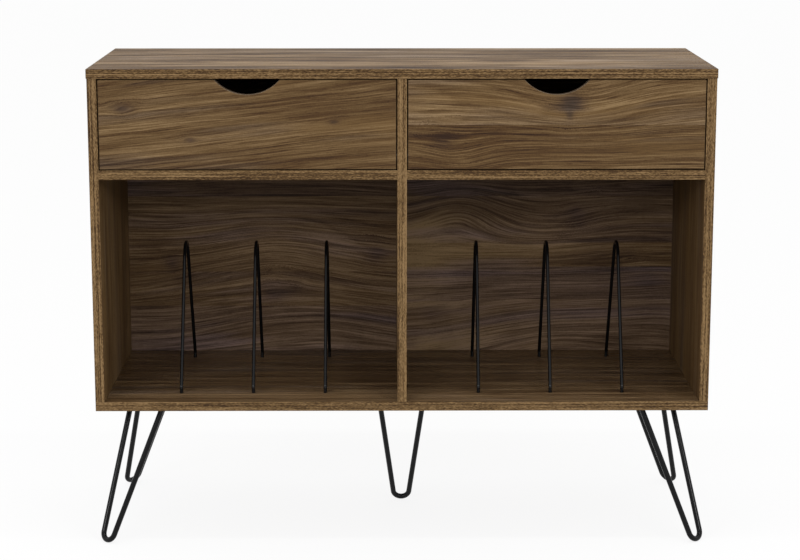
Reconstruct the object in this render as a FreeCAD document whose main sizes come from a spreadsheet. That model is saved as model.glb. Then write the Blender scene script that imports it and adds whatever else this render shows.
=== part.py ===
"""A turntable stand: a board cabinet with two drawers on roller slides, wire dividers for record
sleeves in two open bays, and five hairpin legs.

The origin is on the floor under the middle of the cabinet, +X to the right as seen from the front,
+Y to the rear and +Z up. Lengths are in millimetres.
"""

import FreeCAD
import Part
import math
import os
from enum import IntEnum, auto
from types import SimpleNamespace

import Sketcher

SIZES = {
    # boards of the cabinet
    "carcass_width": 1050,
    "carcass_depth": 392,
    "board_thickness": 16,
    "cubby_height": 384,
    "drawer_bay_height": 154,
    "edge_ease": 0.5,
    "top_side_overhang": 1,
    "top_front_overhang": 1,
    "top_rear_overhang": 1,
    # back panels
    "back_thickness": 3,
    "back_margin": 2,
    "back_joint_gap": 1,
    # holes
    "fit_clearance": 0.1,
    "hole_spare": 1,
    "cut_overrun": 5,
    # dowels and cam fittings between the boards
    "fitting_setback": 50,
    "dowel_setback": 82,
    "dowel_stagger": 24,
    "dowel_diameter": 8,
    "dowel_length": 30,
    "dowel_face_depth": 10,
    "dowel_chamfer": 0.8,
    "cam_diameter": 15,
    "cam_depth": 12.5,
    "cam_proud": 0.3,
    "cam_from_end": 34,
    "bolt_diameter": 7,
    "bolt_thread_diameter": 5,
    "bolt_thread_depth": 11,
    "bolt_neck_diameter": 4,
    "bolt_neck_length": 4,
    "bolt_head_length": 5,
    # screws up through the bottom panel, and nails in the back panels
    "carcass_screw_diameter": 6.3,
    "carcass_screw_length": 50,
    "carcass_screw_head_diameter": 10,
    "carcass_screw_head_height": 3,
    "nail_diameter": 1.6,
    "nail_length": 20,
    "nail_head_diameter": 4.5,
    "nail_head_height": 0.7,
    # drawers
    "front_gap": 2,
    "front_recess": 0.5,
    "notch_width": 109,
    "notch_depth": 25,
    "drawer_rear_clearance": 25.5,
    "drawer_lift": 12,
    "drawer_side_thickness": 12,
    "drawer_side_height": 100,
    "drawer_bottom_thickness": 3,
    "groove_height": 10,
    "groove_depth": 5,
    "groove_clearance": 0.15,
    "drawer_dowel_diameter": 6,
    "drawer_dowel_length": 28,
    "drawer_dowel_face_depth": 8,
    # roller slides
    "slide_width": 12.5,
    "slide_travel": 255,
    "rail_gauge": 1.2,
    "rail_setback": 2,
    "rail_lip": 10,
    "channel_width": 10,
    "flange_tip_gap": 1.2,
    "stop_height": 2,
    "stop_length": 4,
    "roller_diameter": 16,
    "roller_width": 5.4,
    "roller_standoff": 4.6,
    "roller_clearance": 0.3,
    "roller_inset": 12,
    "roller_chamfer": 0.5,
    "pin_diameter": 5,
    "pin_clearance": 0.05,
    "pin_play": 0.1,
    "pin_head_diameter": 8,
    "pin_head_height": 0.7,
    "rail_screw_diameter": 3.5,
    "rail_screw_bite": 6,
    "rail_screw_head_diameter": 6,
    "rail_screw_head_height": 1.7,
    # wire dividers
    "divider_wire": 6,
    "divider_height": 245,
    "divider_base": 272,
    "divider_setback": 64,
    "divider_apex_radius": 36,
    "divider_foot_radius": 12,
    "divider_foot_rise": 8,
    "divider_foot_depth": 10,
    # hairpin legs
    "leg_height": 239,
    "leg_rod": 9.5,
    "leg_lean": 98,
    "leg_spread": 88,
    "leg_bend_radius": 14.5,
    "leg_rod_trim": 8,
    "leg_inset": 81,
    "leg_setback": 83,
    "centre_leg_setback": 170,
    "leg_plate_length": 124,
    "leg_plate_width": 50,
    "leg_plate_thickness": 4,
    "leg_plate_corner": 10,
    "leg_screw_inset": 11,
    "leg_screw_diameter": 4.5,
    "leg_screw_bite": 11,
    "leg_screw_head_diameter": 8.5,
    "leg_screw_head_height": 2.6,
}

# Places along a piece, as shares of its length
NAIL_HEIGHT_SHARES = (0.06, 0.28, 0.5, 0.72, 0.94)
NAIL_BAY_SHARES = (0.33, 0.67)
DRAWER_DOWEL_SHARES = (0.3, 0.8)
RAIL_SCREW_SHARES = (0.15, 0.5, 0.85)
DIVIDER_BAY_SHARES = (0.25, 0.5, 0.75)

X_AXIS = FreeCAD.Vector(1, 0, 0)
Y_AXIS = FreeCAD.Vector(0, 1, 0)
Z_AXIS = FreeCAD.Vector(0, 0, 1)


class Spot(IntEnum):
    """The point of a sketched edge that a constraint holds."""

    START = auto()
    END = auto()
    CENTRE = auto()


class Own(IntEnum):
    """The ids of a sketch's own axes, the first of which starts at its origin."""

    LEVEL_AXIS = ~0
    UPRIGHT_AXIS = ~1


class Length:
    """A length worked out from the sheet: its expression, and the value that it has now."""

    def __init__(self, text, value):
        self.text = text
        self.value = value

    def __add__(self, other):
        other = as_length(other)
        return Length(f"({self.text} + {other.text})", self.value + other.value)

    def __sub__(self, other):
        other = as_length(other)
        return Length(f"({self.text} - {other.text})", self.value - other.value)

    def __mul__(self, other):
        other = as_length(other)
        return Length(f"({self.text} * {other.text})", self.value * other.value)

    def __truediv__(self, other):
        other = as_length(other)
        return Length(f"({self.text} / {other.text})", self.value / other.value)

    def __neg__(self):
        return Length(f"(0 - {self.text})", -self.value)

    __rmul__ = __mul__


def as_length(number):
    """A plain number, such as a count or a share, as a factor for lengths."""
    if isinstance(number, Length):
        return number
    return Length(str(number), float(number))


def root(area):
    """The square root of a sum of squared lengths."""
    return Length(f"sqrt({area.text})", math.sqrt(area.value))


ZERO = as_length(0)

doc = FreeCAD.newDocument("turntable_stand")
sheet = doc.addObject("Spreadsheet::Sheet", "sizes")
for row, (alias, number) in enumerate(SIZES.items(), start=1):
    sheet.set(f"A{row}", alias)
    sheet.set(f"B{row}", str(number))
    sheet.setAlias(f"B{row}", alias)
doc.recompute()
size = SimpleNamespace(**{alias: Length(f"sizes.{alias}", float(sheet.get(alias))) for alias in SIZES})

# Main levels and faces of the cabinet
total_depth = size.top_front_overhang + size.carcass_depth + size.back_thickness + size.top_rear_overhang
front = size.top_front_overhang - total_depth / 2
rear = front + size.carcass_depth
half_width = size.carcass_width / 2
underside = size.leg_height
cubby_floor = underside + size.board_thickness
shelf_underside = cubby_floor + size.cubby_height
bay_floor = shelf_underside + size.board_thickness
top_underside = bay_floor + size.drawer_bay_height
upright_height = size.cubby_height + size.board_thickness + size.drawer_bay_height
bay_width = (size.carcass_width - 3 * size.board_thickness) / 2
mid_board = size.board_thickness / 2

# Stations of the fittings along the depth of a board
fitting_stations = (size.fitting_setback, size.carcass_depth - size.fitting_setback)
dowel_stations = (size.dowel_setback, size.carcass_depth - size.dowel_setback)
staggered_stations = (
    size.dowel_setback + size.dowel_stagger,
    size.carcass_depth - size.dowel_setback - size.dowel_stagger,
)

# Drawer box and its slides
drawer_length = size.carcass_depth - size.front_recess - size.board_thickness - size.drawer_rear_clearance
box_front = front + size.front_recess + size.board_thickness
box_underside = bay_floor + size.front_gap + size.drawer_lift
box_inner_width = bay_width - 2 * size.slide_width - 2 * size.drawer_side_thickness
rail_front = box_front + size.rail_setback
rail_length = drawer_length - size.rail_setback
roller_radius = size.roller_diameter / 2
roller_height = roller_radius + size.roller_clearance
flange_height = 2 * roller_height
channel_height = flange_height + size.rail_gauge + size.roller_clearance

nodes = []


def node(thing):
    """Keep a sub-part for the files, under its own label."""
    nodes.append(thing)
    return thing


def place(thing, x, y, z, rotation=None):
    """Put a sub-part at a place worked out from the sheet."""
    thing.Placement = FreeCAD.Placement(FreeCAD.Vector(), rotation or FreeCAD.Rotation())
    for axis, length in zip("xyz", (x, y, z)):
        thing.setExpression(f"Placement.Base.{axis}", length.text)


def origin_plane(body, role):
    return next(feature for feature in body.Origin.OriginFeatures if feature.Role == role)


def sketch_on(body, name, role, offset=ZERO):
    """A sketch on one of the body's own planes, moved along the plane's normal."""
    sketch = body.newObject("Sketcher::SketchObject", name)
    sketch.AttachmentSupport = [(origin_plane(body, role), "")]
    sketch.MapMode = "FlatFace"
    sketch.setExpression("AttachmentOffset.Base.z", offset.text)
    return sketch


def bind_constraint(sketch, constraint, length):
    index = sketch.addConstraint(constraint)
    sketch.setExpression(f"Constraints[{index}]", length.text)


def pin_point(sketch, edge, end, u, v):
    """Hold a point of an edge at a distance from the sketch's origin."""
    for kind, length in (("DistanceX", u), ("DistanceY", v)):
        constraint = Sketcher.Constraint(kind, Own.LEVEL_AXIS, Spot.START, edge, end, length.value)
        bind_constraint(sketch, constraint, length)


def flat(u, v):
    return FreeCAD.Vector(u.value, v.value, 0)


def draw_outline(sketch, points):
    """A closed outline of straight edges through points in named sizes."""
    count = len(points)
    edges = []
    for index, point in enumerate(points):
        following = points[(index + 1) % count]
        edges.append(sketch.addGeometry(Part.LineSegment(flat(*point), flat(*following))))
    for index, edge in enumerate(edges):
        following = edges[(index + 1) % count]
        sketch.addConstraint(Sketcher.Constraint("Coincident", edge, Spot.END, following, Spot.START))
        pin_point(sketch, edge, Spot.START, *points[index])


def draw_circle(sketch, u, v, diameter):
    edge = sketch.addGeometry(Part.Circle(flat(u, v), Z_AXIS, diameter.value / 2))
    pin_point(sketch, edge, Spot.CENTRE, u, v)
    bind_constraint(sketch, Sketcher.Constraint("Diameter", edge, diameter.value), diameter)


def draw_arc(sketch, centre_u, centre_v, radius, start_angle, end_angle):
    """An anticlockwise arc with its radius held; its centre and ends are held by what it joins."""
    circle = Part.Circle(flat(centre_u, centre_v), Z_AXIS, radius.value)
    edge = sketch.addGeometry(Part.ArcOfCircle(circle, start_angle, end_angle))
    bind_constraint(sketch, Sketcher.Constraint("Radius", edge, radius.value), radius)
    return edge


def draw_line(sketch, first, second):
    return sketch.addGeometry(Part.LineSegment(flat(*first), flat(*second)))


def join_smoothly(sketch, edge, edge_end, other, other_end):
    sketch.addConstraint(Sketcher.Constraint("Tangent", edge, edge_end, other, other_end))


def extrude(body, kind, name, sketch, length, reverse=False):
    """A Pad along the sketch's normal or a Pocket against it, or the other way round."""
    feature = body.newObject(f"PartDesign::{kind}", name)
    feature.Profile = sketch
    feature.setExpression("Length", length.text)
    feature.Reversed = reverse
    return feature


class Board:
    """A rectangular board, drawn from its lowest corner, with eased edges and drilled faces."""

    def __init__(self, label, corner, width, depth, height, notch=None, ease=True):
        self.body = node(doc.addObject("PartDesign::Body", label))
        self.width = width
        self.depth = depth
        self.height = height
        outline = sketch_on(self.body, "outline", "XY_Plane")
        draw_outline(outline, [(ZERO, ZERO), (width, ZERO), (width, depth), (ZERO, depth)])
        slab = extrude(self.body, "Pad", "slab", outline, height)
        if notch:
            slab = notch(self)
        if ease:
            doc.recompute()
            eased = self.body.newObject("PartDesign::Fillet", "eased_edges")
            eased.Base = (slab, ["Face1"])
            eased.UseAllEdges = True
            eased.setExpression("Radius", size.edge_ease.text)
        place(self.body, *corner)

    def face(self, name):
        """A face's plane, where it stands along that plane's normal, and which way a cut turns."""
        faces = {
            "top": ("XY_Plane", self.height, False),
            "bottom": ("XY_Plane", ZERO, True),
            "front": ("XZ_Plane", ZERO, False),
            "rear": ("XZ_Plane", -self.depth, True),
            "left": ("YZ_Plane", ZERO, True),
            "right": ("YZ_Plane", self.width, False),
        }
        return faces[name]

    def drill(self, face, spots, diameter, depth):
        """Round holes into a face. A spot is in the face's own plane, from the board's corner."""
        role, offset, reverse = self.face(face)
        holes = sketch_on(self.body, f"{face}_holes", role, offset)
        for u, v in spots:
            draw_circle(holes, u, v, diameter)
        extrude(self.body, "Pocket", f"{face}_bores", holes, depth, reverse)

    def groove(self, face, low, high, depth):
        """A rectangular groove into a face, between two corners in the face's own plane."""
        role, offset, reverse = self.face(face)
        outline = sketch_on(self.body, f"{face}_groove_outline", role, offset)
        draw_outline(outline, [low, (high[0], low[1]), high, (low[0], high[1])])
        extrude(self.body, "Pocket", f"{face}_groove", outline, depth, reverse)


def turned(label, outline):
    """A turned piece: an outline of (radius, height) points carried round the Z axis."""
    body = doc.addObject("PartDesign::Body", label)
    profile = sketch_on(body, "profile", "XZ_Plane")
    draw_outline(profile, outline)
    turn = body.newObject("PartDesign::Revolution", "turned_form")
    turn.Profile = profile
    turn.ReferenceAxis = (profile, ["V_Axis"])
    return body


def headed(label, diameter, length, head_diameter, head_height):
    """A plain headed pin: its head is below the seat at height zero and its shank above."""
    shank = diameter / 2
    head = head_diameter / 2
    return turned(
        label,
        [
            (ZERO, -head_height),
            (head, -head_height),
            (head, ZERO),
            (shank, ZERO),
            (shank, length),
            (ZERO, length),
        ],
    )


def peg(label, diameter, length):
    """A wooden dowel with bevelled ends."""
    radius = diameter / 2
    neck = radius - size.dowel_chamfer
    return turned(
        label,
        [
            (ZERO, ZERO),
            (neck, ZERO),
            (radius, size.dowel_chamfer),
            (radius, length - size.dowel_chamfer),
            (neck, length),
            (ZERO, length),
        ],
    )


def pointing(direction):
    """The turn that points a piece's own Z axis along a direction."""
    return FreeCAD.Rotation(Z_AXIS, direction)


def copies(label, *batches):
    """One sub-part of separate solids: copies of each pattern piece at its (x, y, z, rotation) places."""
    links = []
    for pattern, places in batches:
        for x, y, z, rotation in places:
            link = doc.addObject("App::Link", f"{label}_{len(links)}")
            link.LinkedObject = pattern
            place(link, x, y, z, rotation)
            links.append(link)
    group = node(doc.addObject("Part::Compound", label))
    group.Links = links


def drilled(diameter):
    """The hole that a round piece is a free fit in."""
    return diameter + 2 * size.fit_clearance


def upright_middles():
    """The middle planes of the three uprights, from left to right."""
    return (mid_board - half_width, ZERO, half_width - mid_board)


class Bay:
    """One half of the cabinet: where it starts, and the names of what stands in it."""

    def __init__(self, side, left, right):
        self.side = side
        self.left = left
        self.right = right

    def rails(self):
        """The bay's two walls that carry rails: name, place and direction into the bay."""
        return (("left", self.left, 1), ("right", self.right, -1))

    def divider_places(self):
        return [self.left + share * bay_width for share in DIVIDER_BAY_SHARES]


bays = (
    Bay("left", size.board_thickness - half_width, -mid_board),
    Bay("right", mid_board, half_width - size.board_thickness),
)


# Carcass

def nail_heights():
    """Heights of the nails in the uprights, above the underside of the cabinet."""
    low = size.board_thickness
    return [low + share * upright_height for share in NAIL_HEIGHT_SHARES]


def nail_hole_depth():
    return size.nail_length - size.back_thickness + size.hole_spare


def top_panel():
    """The top lies over the uprights and stands proud of them all round."""
    width = size.carcass_width + 2 * size.top_side_overhang
    left = -(width / 2)
    board = Board(
        "top_panel",
        (left, -(total_depth / 2), top_underside),
        width,
        total_depth,
        size.board_thickness,
    )
    columns = [x - left for x in upright_middles()]
    bolts = [(x, y + size.top_front_overhang) for x in columns for y in fitting_stations]
    pegs = [(x, y + size.top_front_overhang) for x in columns for y in dowel_stations]
    bolt_depth = size.bolt_thread_depth + size.hole_spare
    board.drill("bottom", bolts, drilled(size.bolt_thread_diameter), bolt_depth)
    board.drill("bottom", pegs, drilled(size.dowel_diameter), size.dowel_face_depth + size.hole_spare)


def bottom_panel():
    """The bottom carries the uprights, the dividers and, underneath, the legs."""
    board = Board(
        "bottom_panel",
        (-half_width, front, underside),
        size.carcass_width,
        size.carcass_depth,
        size.board_thickness,
    )
    columns = [x + half_width for x in upright_middles()]
    screws = [(x, y) for x in columns for y in fitting_stations]
    board.drill("bottom", screws, drilled(size.carcass_screw_diameter), size.board_thickness)
    board.drill("bottom", screws, drilled(size.carcass_screw_head_diameter), size.carcass_screw_head_height)
    pegs = [(x, y) for x in columns for y in dowel_stations]
    board.drill("top", pegs, drilled(size.dowel_diameter), size.dowel_face_depth + size.hole_spare)
    feet = [
        (x + half_width, y)
        for bay in bays
        for x in bay.divider_places()
        for y in (size.divider_setback, size.divider_setback + size.divider_base)
    ]
    board.drill("top", feet, drilled(size.divider_wire), size.divider_foot_depth + size.hole_spare)
    legs = [(x + half_width, y - front) for x, y in leg_screw_spots()]
    board.drill("bottom", legs, drilled(size.leg_screw_diameter), size.leg_screw_bite + size.hole_spare)
    nails = [
        (bay.left + share * bay_width + half_width, mid_board) for bay in bays for share in NAIL_BAY_SHARES
    ]
    board.drill("rear", nails, drilled(size.nail_diameter), nail_hole_depth())


def upright(label, left, bolt_face, shelf_faces, rail_faces, nail_columns):
    """An upright: cam fittings and dowels at its top, screws and dowels below, rails on its faces."""
    board = Board(
        label,
        (left, front, cubby_floor),
        size.board_thickness,
        size.carcass_depth,
        upright_height,
    )
    bolt_hole = drilled(size.bolt_diameter)
    peg_hole = drilled(size.dowel_diameter)
    end_peg_depth = size.dowel_length - size.dowel_face_depth + size.hole_spare
    face_peg_depth = size.dowel_face_depth + size.hole_spare
    fittings = [(mid_board, y) for y in fitting_stations]
    pegs = [(mid_board, y) for y in dowel_stations]
    board.drill("top", fittings, bolt_hole, size.cam_from_end)
    board.drill("top", pegs, peg_hole, end_peg_depth)
    cams = [(y, upright_height - size.cam_from_end) for y in fitting_stations]
    board.drill(bolt_face, cams, drilled(size.cam_diameter), size.cam_depth + size.fit_clearance)
    screw_depth = size.carcass_screw_length - size.board_thickness + size.hole_spare
    board.drill("bottom", fittings, drilled(size.carcass_screw_diameter), screw_depth)
    board.drill("bottom", pegs, peg_hole, end_peg_depth)
    shelf_middle = size.cubby_height + mid_board
    for face, stations in shelf_faces:
        board.drill(face, [(y, shelf_middle) for y in stations], peg_hole, face_peg_depth)
    bolts = [(y, shelf_middle) for y in fitting_stations]
    if len(shelf_faces) > 1:
        board.drill("left", bolts, bolt_hole, size.board_thickness)
    else:
        thread_hole = drilled(size.bolt_thread_diameter)
        board.drill(bolt_face, bolts, thread_hole, size.bolt_thread_depth + size.hole_spare)
    screws = [
        (rail_front - front + share * rail_length, box_underside - cubby_floor + roller_height)
        for share in RAIL_SCREW_SHARES
    ]
    for face in rail_faces:
        board.drill(face, screws, drilled(size.rail_screw_diameter), size.rail_screw_bite + size.hole_spare)
    nails = [(x, z - size.board_thickness) for x in nail_columns for z in nail_heights()]
    board.drill("rear", nails, drilled(size.nail_diameter), nail_hole_depth())


def uprights():
    """The two sides and the partition between the bays."""
    outer_nails = (mid_board,)
    partition_nails = (mid_board / 2, mid_board + mid_board / 2)
    upright("side_panel_left", -half_width, "right", [("right", dowel_stations)], ["right"], outer_nails)
    upright(
        "centre_partition",
        -mid_board,
        "right",
        [("left", dowel_stations), ("right", staggered_stations)],
        ["left", "right"],
        partition_nails,
    )
    right_side = half_width - size.board_thickness
    upright("side_panel_right", right_side, "left", [("left", dowel_stations)], ["left"], outer_nails)


def shelf(bay):
    """A shelf between a side and the partition, with cam fittings and dowels at both ends."""
    board = Board(
        f"shelf_{bay.side}",
        (bay.left, front, shelf_underside),
        bay_width,
        size.carcass_depth,
        size.board_thickness,
    )
    peg_depth = size.dowel_length - size.dowel_face_depth + size.hole_spare
    for face, x in (("left", size.cam_from_end), ("right", bay_width - size.cam_from_end)):
        bolts = [(y, mid_board) for y in fitting_stations]
        board.drill(face, bolts, drilled(size.bolt_diameter), size.cam_from_end)
        pegs = [(y, mid_board) for y in shelf_peg_stations(bay, face)]
        board.drill(face, pegs, drilled(size.dowel_diameter), peg_depth)
        cams = [(x, y) for y in fitting_stations]
        board.drill("top", cams, drilled(size.cam_diameter), size.cam_depth + size.fit_clearance)
    nails = [(share * bay_width, mid_board) for share in NAIL_BAY_SHARES]
    board.drill("rear", nails, drilled(size.nail_diameter), nail_hole_depth())


def shelf_peg_stations(bay, end):
    """Dowels from the right bay stand clear of those that come through from the left bay."""
    meets_partition_from_right = bay.side == "right" and end == "left"
    return staggered_stations if meets_partition_from_right else dowel_stations


def nail_places(bay):
    """Where one back panel is nailed, as (x, z) above the underside of the cabinet."""
    outward = -1 if bay.side == "left" else 1
    outer = outward * (half_width - mid_board)
    inner = outward * (mid_board / 2)
    along_uprights = [(x, z) for x in (outer, inner) for z in nail_heights()]
    shelf_middle = size.board_thickness + size.cubby_height + mid_board
    across = [bay.left + share * bay_width for share in NAIL_BAY_SHARES]
    return along_uprights + [(x, z) for x in across for z in (mid_board, shelf_middle)]


def back_panel(bay):
    """A thin back behind one bay, nailed to the rear edges and tucked under the top."""
    inner_edge = size.back_joint_gap / 2
    width = half_width - size.back_margin - inner_edge
    left = size.back_margin - half_width if bay.side == "left" else inner_edge
    height = top_underside - underside - 2 * size.back_margin
    board = Board(
        f"back_panel_{bay.side}",
        (left, rear, underside + size.back_margin),
        width,
        size.back_thickness,
        height,
        ease=False,
    )
    holes = [(x - left, z - size.back_margin) for x, z in nail_places(bay)]
    board.drill("rear", holes, drilled(size.nail_diameter), size.back_thickness)


# Fittings of the carcass

def wood_dowels():
    """Dowels at both ends of the uprights and of the shelves."""
    up = pointing(Z_AXIS)
    places = []
    for x in upright_middles():
        for y in dowel_stations:
            places.append((x, front + y, cubby_floor - size.dowel_face_depth, up))
            tail = size.dowel_length - size.dowel_face_depth
            places.append((x, front + y, top_underside - tail, up))
    for bay in bays:
        ends = (
            ("left", bay.left - size.dowel_face_depth, 1),
            ("right", bay.right + size.dowel_face_depth, -1),
        )
        for end, x, sign in ends:
            turn = pointing(sign * X_AXIS)
            for y in shelf_peg_stations(bay, end):
                places.append((x, front + y, shelf_underside + mid_board, turn))
    pattern = peg("dowel_pattern", size.dowel_diameter, size.dowel_length)
    copies("wood_dowels", (pattern, places))


def bolt_head_outline():
    """The stem, waist and head of a cam bolt, from the joint that it crosses to its tip."""
    stem = size.bolt_diameter / 2
    waist = size.bolt_neck_diameter / 2
    head_start = size.cam_from_end - size.bolt_head_length / 2
    neck_start = head_start - size.bolt_neck_length
    tip = size.cam_from_end + size.bolt_head_length / 2
    return [
        (stem, neck_start),
        (waist, neck_start),
        (waist, head_start),
        (stem, head_start),
        (stem, tip),
        (ZERO, tip),
    ]


def cam_bolts():
    """Bolts screwed into a face, and double-ended ones through the partition, held by cams."""
    thread = size.bolt_thread_diameter / 2
    stem = size.bolt_diameter / 2
    root_of_thread = [
        (ZERO, -size.bolt_thread_depth),
        (thread, -size.bolt_thread_depth),
        (thread, ZERO),
        (stem, ZERO),
    ]
    single = turned("cam_bolt_pattern", root_of_thread + bolt_head_outline())
    upper = [(radius, height + mid_board) for radius, height in bolt_head_outline()]
    lower = [(radius, -height) for radius, height in reversed(upper)]
    double = turned("double_bolt_pattern", lower + upper)
    down = pointing(-Z_AXIS)
    places = [(x, front + y, top_underside, down) for x in upright_middles() for y in fitting_stations]
    level = shelf_underside + mid_board
    outer_walls = ((bays[0].left, X_AXIS), (bays[1].right, -X_AXIS))
    places += [(x, front + y, level, pointing(way)) for x, way in outer_walls for y in fitting_stations]
    through = [(ZERO, front + y, level, pointing(X_AXIS)) for y in fitting_stations]
    copies("cam_bolts", (single, places), (double, through))


def cam_pattern():
    """A cam lock whose face looks along +Z and whose bolt comes in from -Y."""
    radius = size.cam_diameter / 2
    body = turned(
        "cam_pattern",
        [
            (ZERO, -size.cam_depth),
            (radius, -size.cam_depth),
            (radius, size.cam_proud),
            (ZERO, size.cam_proud),
        ],
    )
    hole_end = size.bolt_head_length / 2 + size.fit_clearance
    hole = sketch_on(body, "bolt_way", "XZ_Plane", -hole_end)
    draw_circle(hole, ZERO, -mid_board, drilled(size.bolt_diameter))
    extrude(body, "Pocket", "bolt_bore", hole, hole_end + radius + size.cut_overrun, reverse=True)
    return body


def cam_locks():
    """Cams at the heads of the uprights, on their bay faces, and in the shelves' upper faces."""
    places = []
    heads = (
        (size.board_thickness - half_width, X_AXIS),
        (mid_board, X_AXIS),
        (half_width - size.board_thickness, -X_AXIS),
    )
    for x, outward in heads:
        turn = FreeCAD.Rotation(outward.cross(Z_AXIS), -Z_AXIS, outward, "ZYX")
        for y in fitting_stations:
            places.append((x, front + y, top_underside - size.cam_from_end, turn))
    for bay in bays:
        ends = ((bay.left + size.cam_from_end, X_AXIS), (bay.right - size.cam_from_end, -X_AXIS))
        for x, inward in ends:
            turn = FreeCAD.Rotation(inward.cross(Z_AXIS), inward, Z_AXIS, "ZYX")
            for y in fitting_stations:
                places.append((x, front + y, bay_floor, turn))
    copies("cam_locks", (cam_pattern(), places))


def carcass_screws():
    """Screws up through the bottom panel into the uprights, with heads let in flush."""
    head = size.carcass_screw_head_height
    pattern = headed(
        "carcass_screw_pattern",
        size.carcass_screw_diameter,
        size.carcass_screw_length - head,
        size.carcass_screw_head_diameter,
        head,
    )
    up = pointing(Z_AXIS)
    seat = underside + head
    places = [(x, front + y, seat, up) for x in upright_middles() for y in fitting_stations]
    copies("carcass_screws", (pattern, places))


def back_panel_nails():
    pattern = headed(
        "nail_pattern", size.nail_diameter, size.nail_length, size.nail_head_diameter, size.nail_head_height
    )
    inward = pointing(-Y_AXIS)
    seat = rear + size.back_thickness
    places = [(x, seat, underside + z, inward) for bay in bays for x, z in nail_places(bay)]
    copies("back_panel_nails", (pattern, places))


# Drawers

def notch_in_front(board):
    """A round finger notch in the middle of a drawer front's top edge."""
    radius = (size.notch_width * size.notch_width / 4 + size.notch_depth * size.notch_depth) / (
        2 * size.notch_depth
    )
    outline = sketch_on(board.body, "notch_outline", "XZ_Plane")
    draw_circle(outline, board.width / 2, board.height - size.notch_depth + radius, 2 * radius)
    return extrude(board.body, "Pocket", "finger_notch", outline, board.depth)


def drawer_peg_heights():
    """Heights of the drawer's dowels above the lower edge of its sides."""
    return [share * size.drawer_side_height for share in DRAWER_DOWEL_SHARES]


def groove_levels():
    low = size.groove_height - size.groove_clearance
    high = size.groove_height + size.drawer_bottom_thickness + size.groove_clearance
    return low, high


def drawer_front(bay):
    """The inset front, with a groove for the drawer bottom and dowel holes for the sides."""
    width = bay_width - 2 * size.front_gap
    height = size.drawer_bay_height - 2 * size.front_gap
    board = Board(
        f"{bay.side}_drawer_front",
        (bay.left + size.front_gap, front + size.front_recess, bay_floor + size.front_gap),
        width,
        size.board_thickness,
        height,
        notch=notch_in_front,
    )
    side_inset = size.slide_width - size.front_gap
    middles = (
        side_inset + size.drawer_side_thickness / 2,
        width - side_inset - size.drawer_side_thickness / 2,
    )
    holes = [(x, size.drawer_lift + z) for x in middles for z in drawer_peg_heights()]
    hole_depth = size.drawer_dowel_face_depth + size.hole_spare
    board.drill("rear", holes, drilled(size.drawer_dowel_diameter), hole_depth)
    low, high = groove_levels()
    edge = side_inset + size.drawer_side_thickness - size.groove_depth
    board.groove(
        "rear",
        (edge, size.drawer_lift + low),
        (width - edge, size.drawer_lift + high),
        size.groove_depth,
    )


def drawer_sides(bay):
    """Two sides, grooved inside for the bottom, dowelled to the front and to the back."""
    low, high = groove_levels()
    hole = drilled(size.drawer_dowel_diameter)
    end_depth = size.drawer_dowel_length - size.drawer_dowel_face_depth + size.hole_spare
    face_depth = size.drawer_dowel_face_depth + size.hole_spare
    right_corner = bay.right - size.slide_width - size.drawer_side_thickness
    lip_middle = size.rail_lip / 2
    choices = (
        ("left", bay.left + size.slide_width, "right", lip_middle),
        ("right", right_corner, "left", size.drawer_side_thickness - lip_middle),
    )
    for name, left, inner_face, screw_line in choices:
        board = Board(
            f"{bay.side}_drawer_side_{name}",
            (left, box_front, box_underside),
            size.drawer_side_thickness,
            drawer_length,
            size.drawer_side_height,
        )
        heights = drawer_peg_heights()
        board.drill("front", [(size.drawer_side_thickness / 2, z) for z in heights], hole, end_depth)
        back_middle = drawer_length - size.drawer_side_thickness / 2
        board.drill(inner_face, [(back_middle, z) for z in heights], hole, face_depth)
        overrun = size.cut_overrun
        board.groove(inner_face, (-overrun, low), (drawer_length + overrun, high), size.groove_depth)
        screws = [(screw_line, size.rail_setback + share * rail_length) for share in RAIL_SCREW_SHARES]
        screw_depth = size.rail_screw_bite + size.hole_spare
        board.drill("bottom", screws, drilled(size.rail_screw_diameter), screw_depth)


def drawer_back(bay):
    """The back stands on the drawer bottom, between the sides."""
    lift = groove_levels()[1]
    height = size.drawer_side_height - lift
    thickness = size.drawer_side_thickness
    board = Board(
        f"{bay.side}_drawer_back",
        (
            bay.left + size.slide_width + thickness,
            box_front + drawer_length - thickness,
            box_underside + lift,
        ),
        box_inner_width,
        thickness,
        height,
    )
    holes = [(thickness / 2, z - lift) for z in drawer_peg_heights()]
    depth = size.drawer_dowel_length - size.drawer_dowel_face_depth + size.hole_spare
    for face in ("left", "right"):
        board.drill(face, holes, drilled(size.drawer_dowel_diameter), depth)


def drawer_bottom(bay):
    """A thin bottom in the grooves of the front and the sides, ending flush at the rear."""
    tongue = size.groove_depth - size.groove_clearance
    Board(
        f"{bay.side}_drawer_bottom",
        (
            bay.left + size.slide_width + size.drawer_side_thickness - tongue,
            box_front - tongue,
            box_underside + size.groove_height,
        ),
        box_inner_width + 2 * tongue,
        drawer_length + tongue,
        size.drawer_bottom_thickness,
        ease=False,
    )


def drawer_dowels(bay):
    """Dowels through the corners of the drawer box."""
    pattern = peg(f"{bay.side}_drawer_dowel_pattern", size.drawer_dowel_diameter, size.drawer_dowel_length)
    face_depth = size.drawer_dowel_face_depth
    half_side = size.drawer_side_thickness / 2
    back_middle = box_front + drawer_length - half_side
    places = []
    for _, wall, sign in bay.rails():
        outer = wall + sign * size.slide_width
        seat = outer + sign * (size.drawer_side_thickness - face_depth)
        for height in drawer_peg_heights():
            z = box_underside + height
            places.append((outer + sign * half_side, box_front - face_depth, z, pointing(Y_AXIS)))
            places.append((seat, back_middle, z, pointing(sign * X_AXIS)))
    copies(f"{bay.side}_drawer_dowels", (pattern, places))


# Roller slides: the section is drawn from the cabinet wall, across the gap to the drawer side

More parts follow.
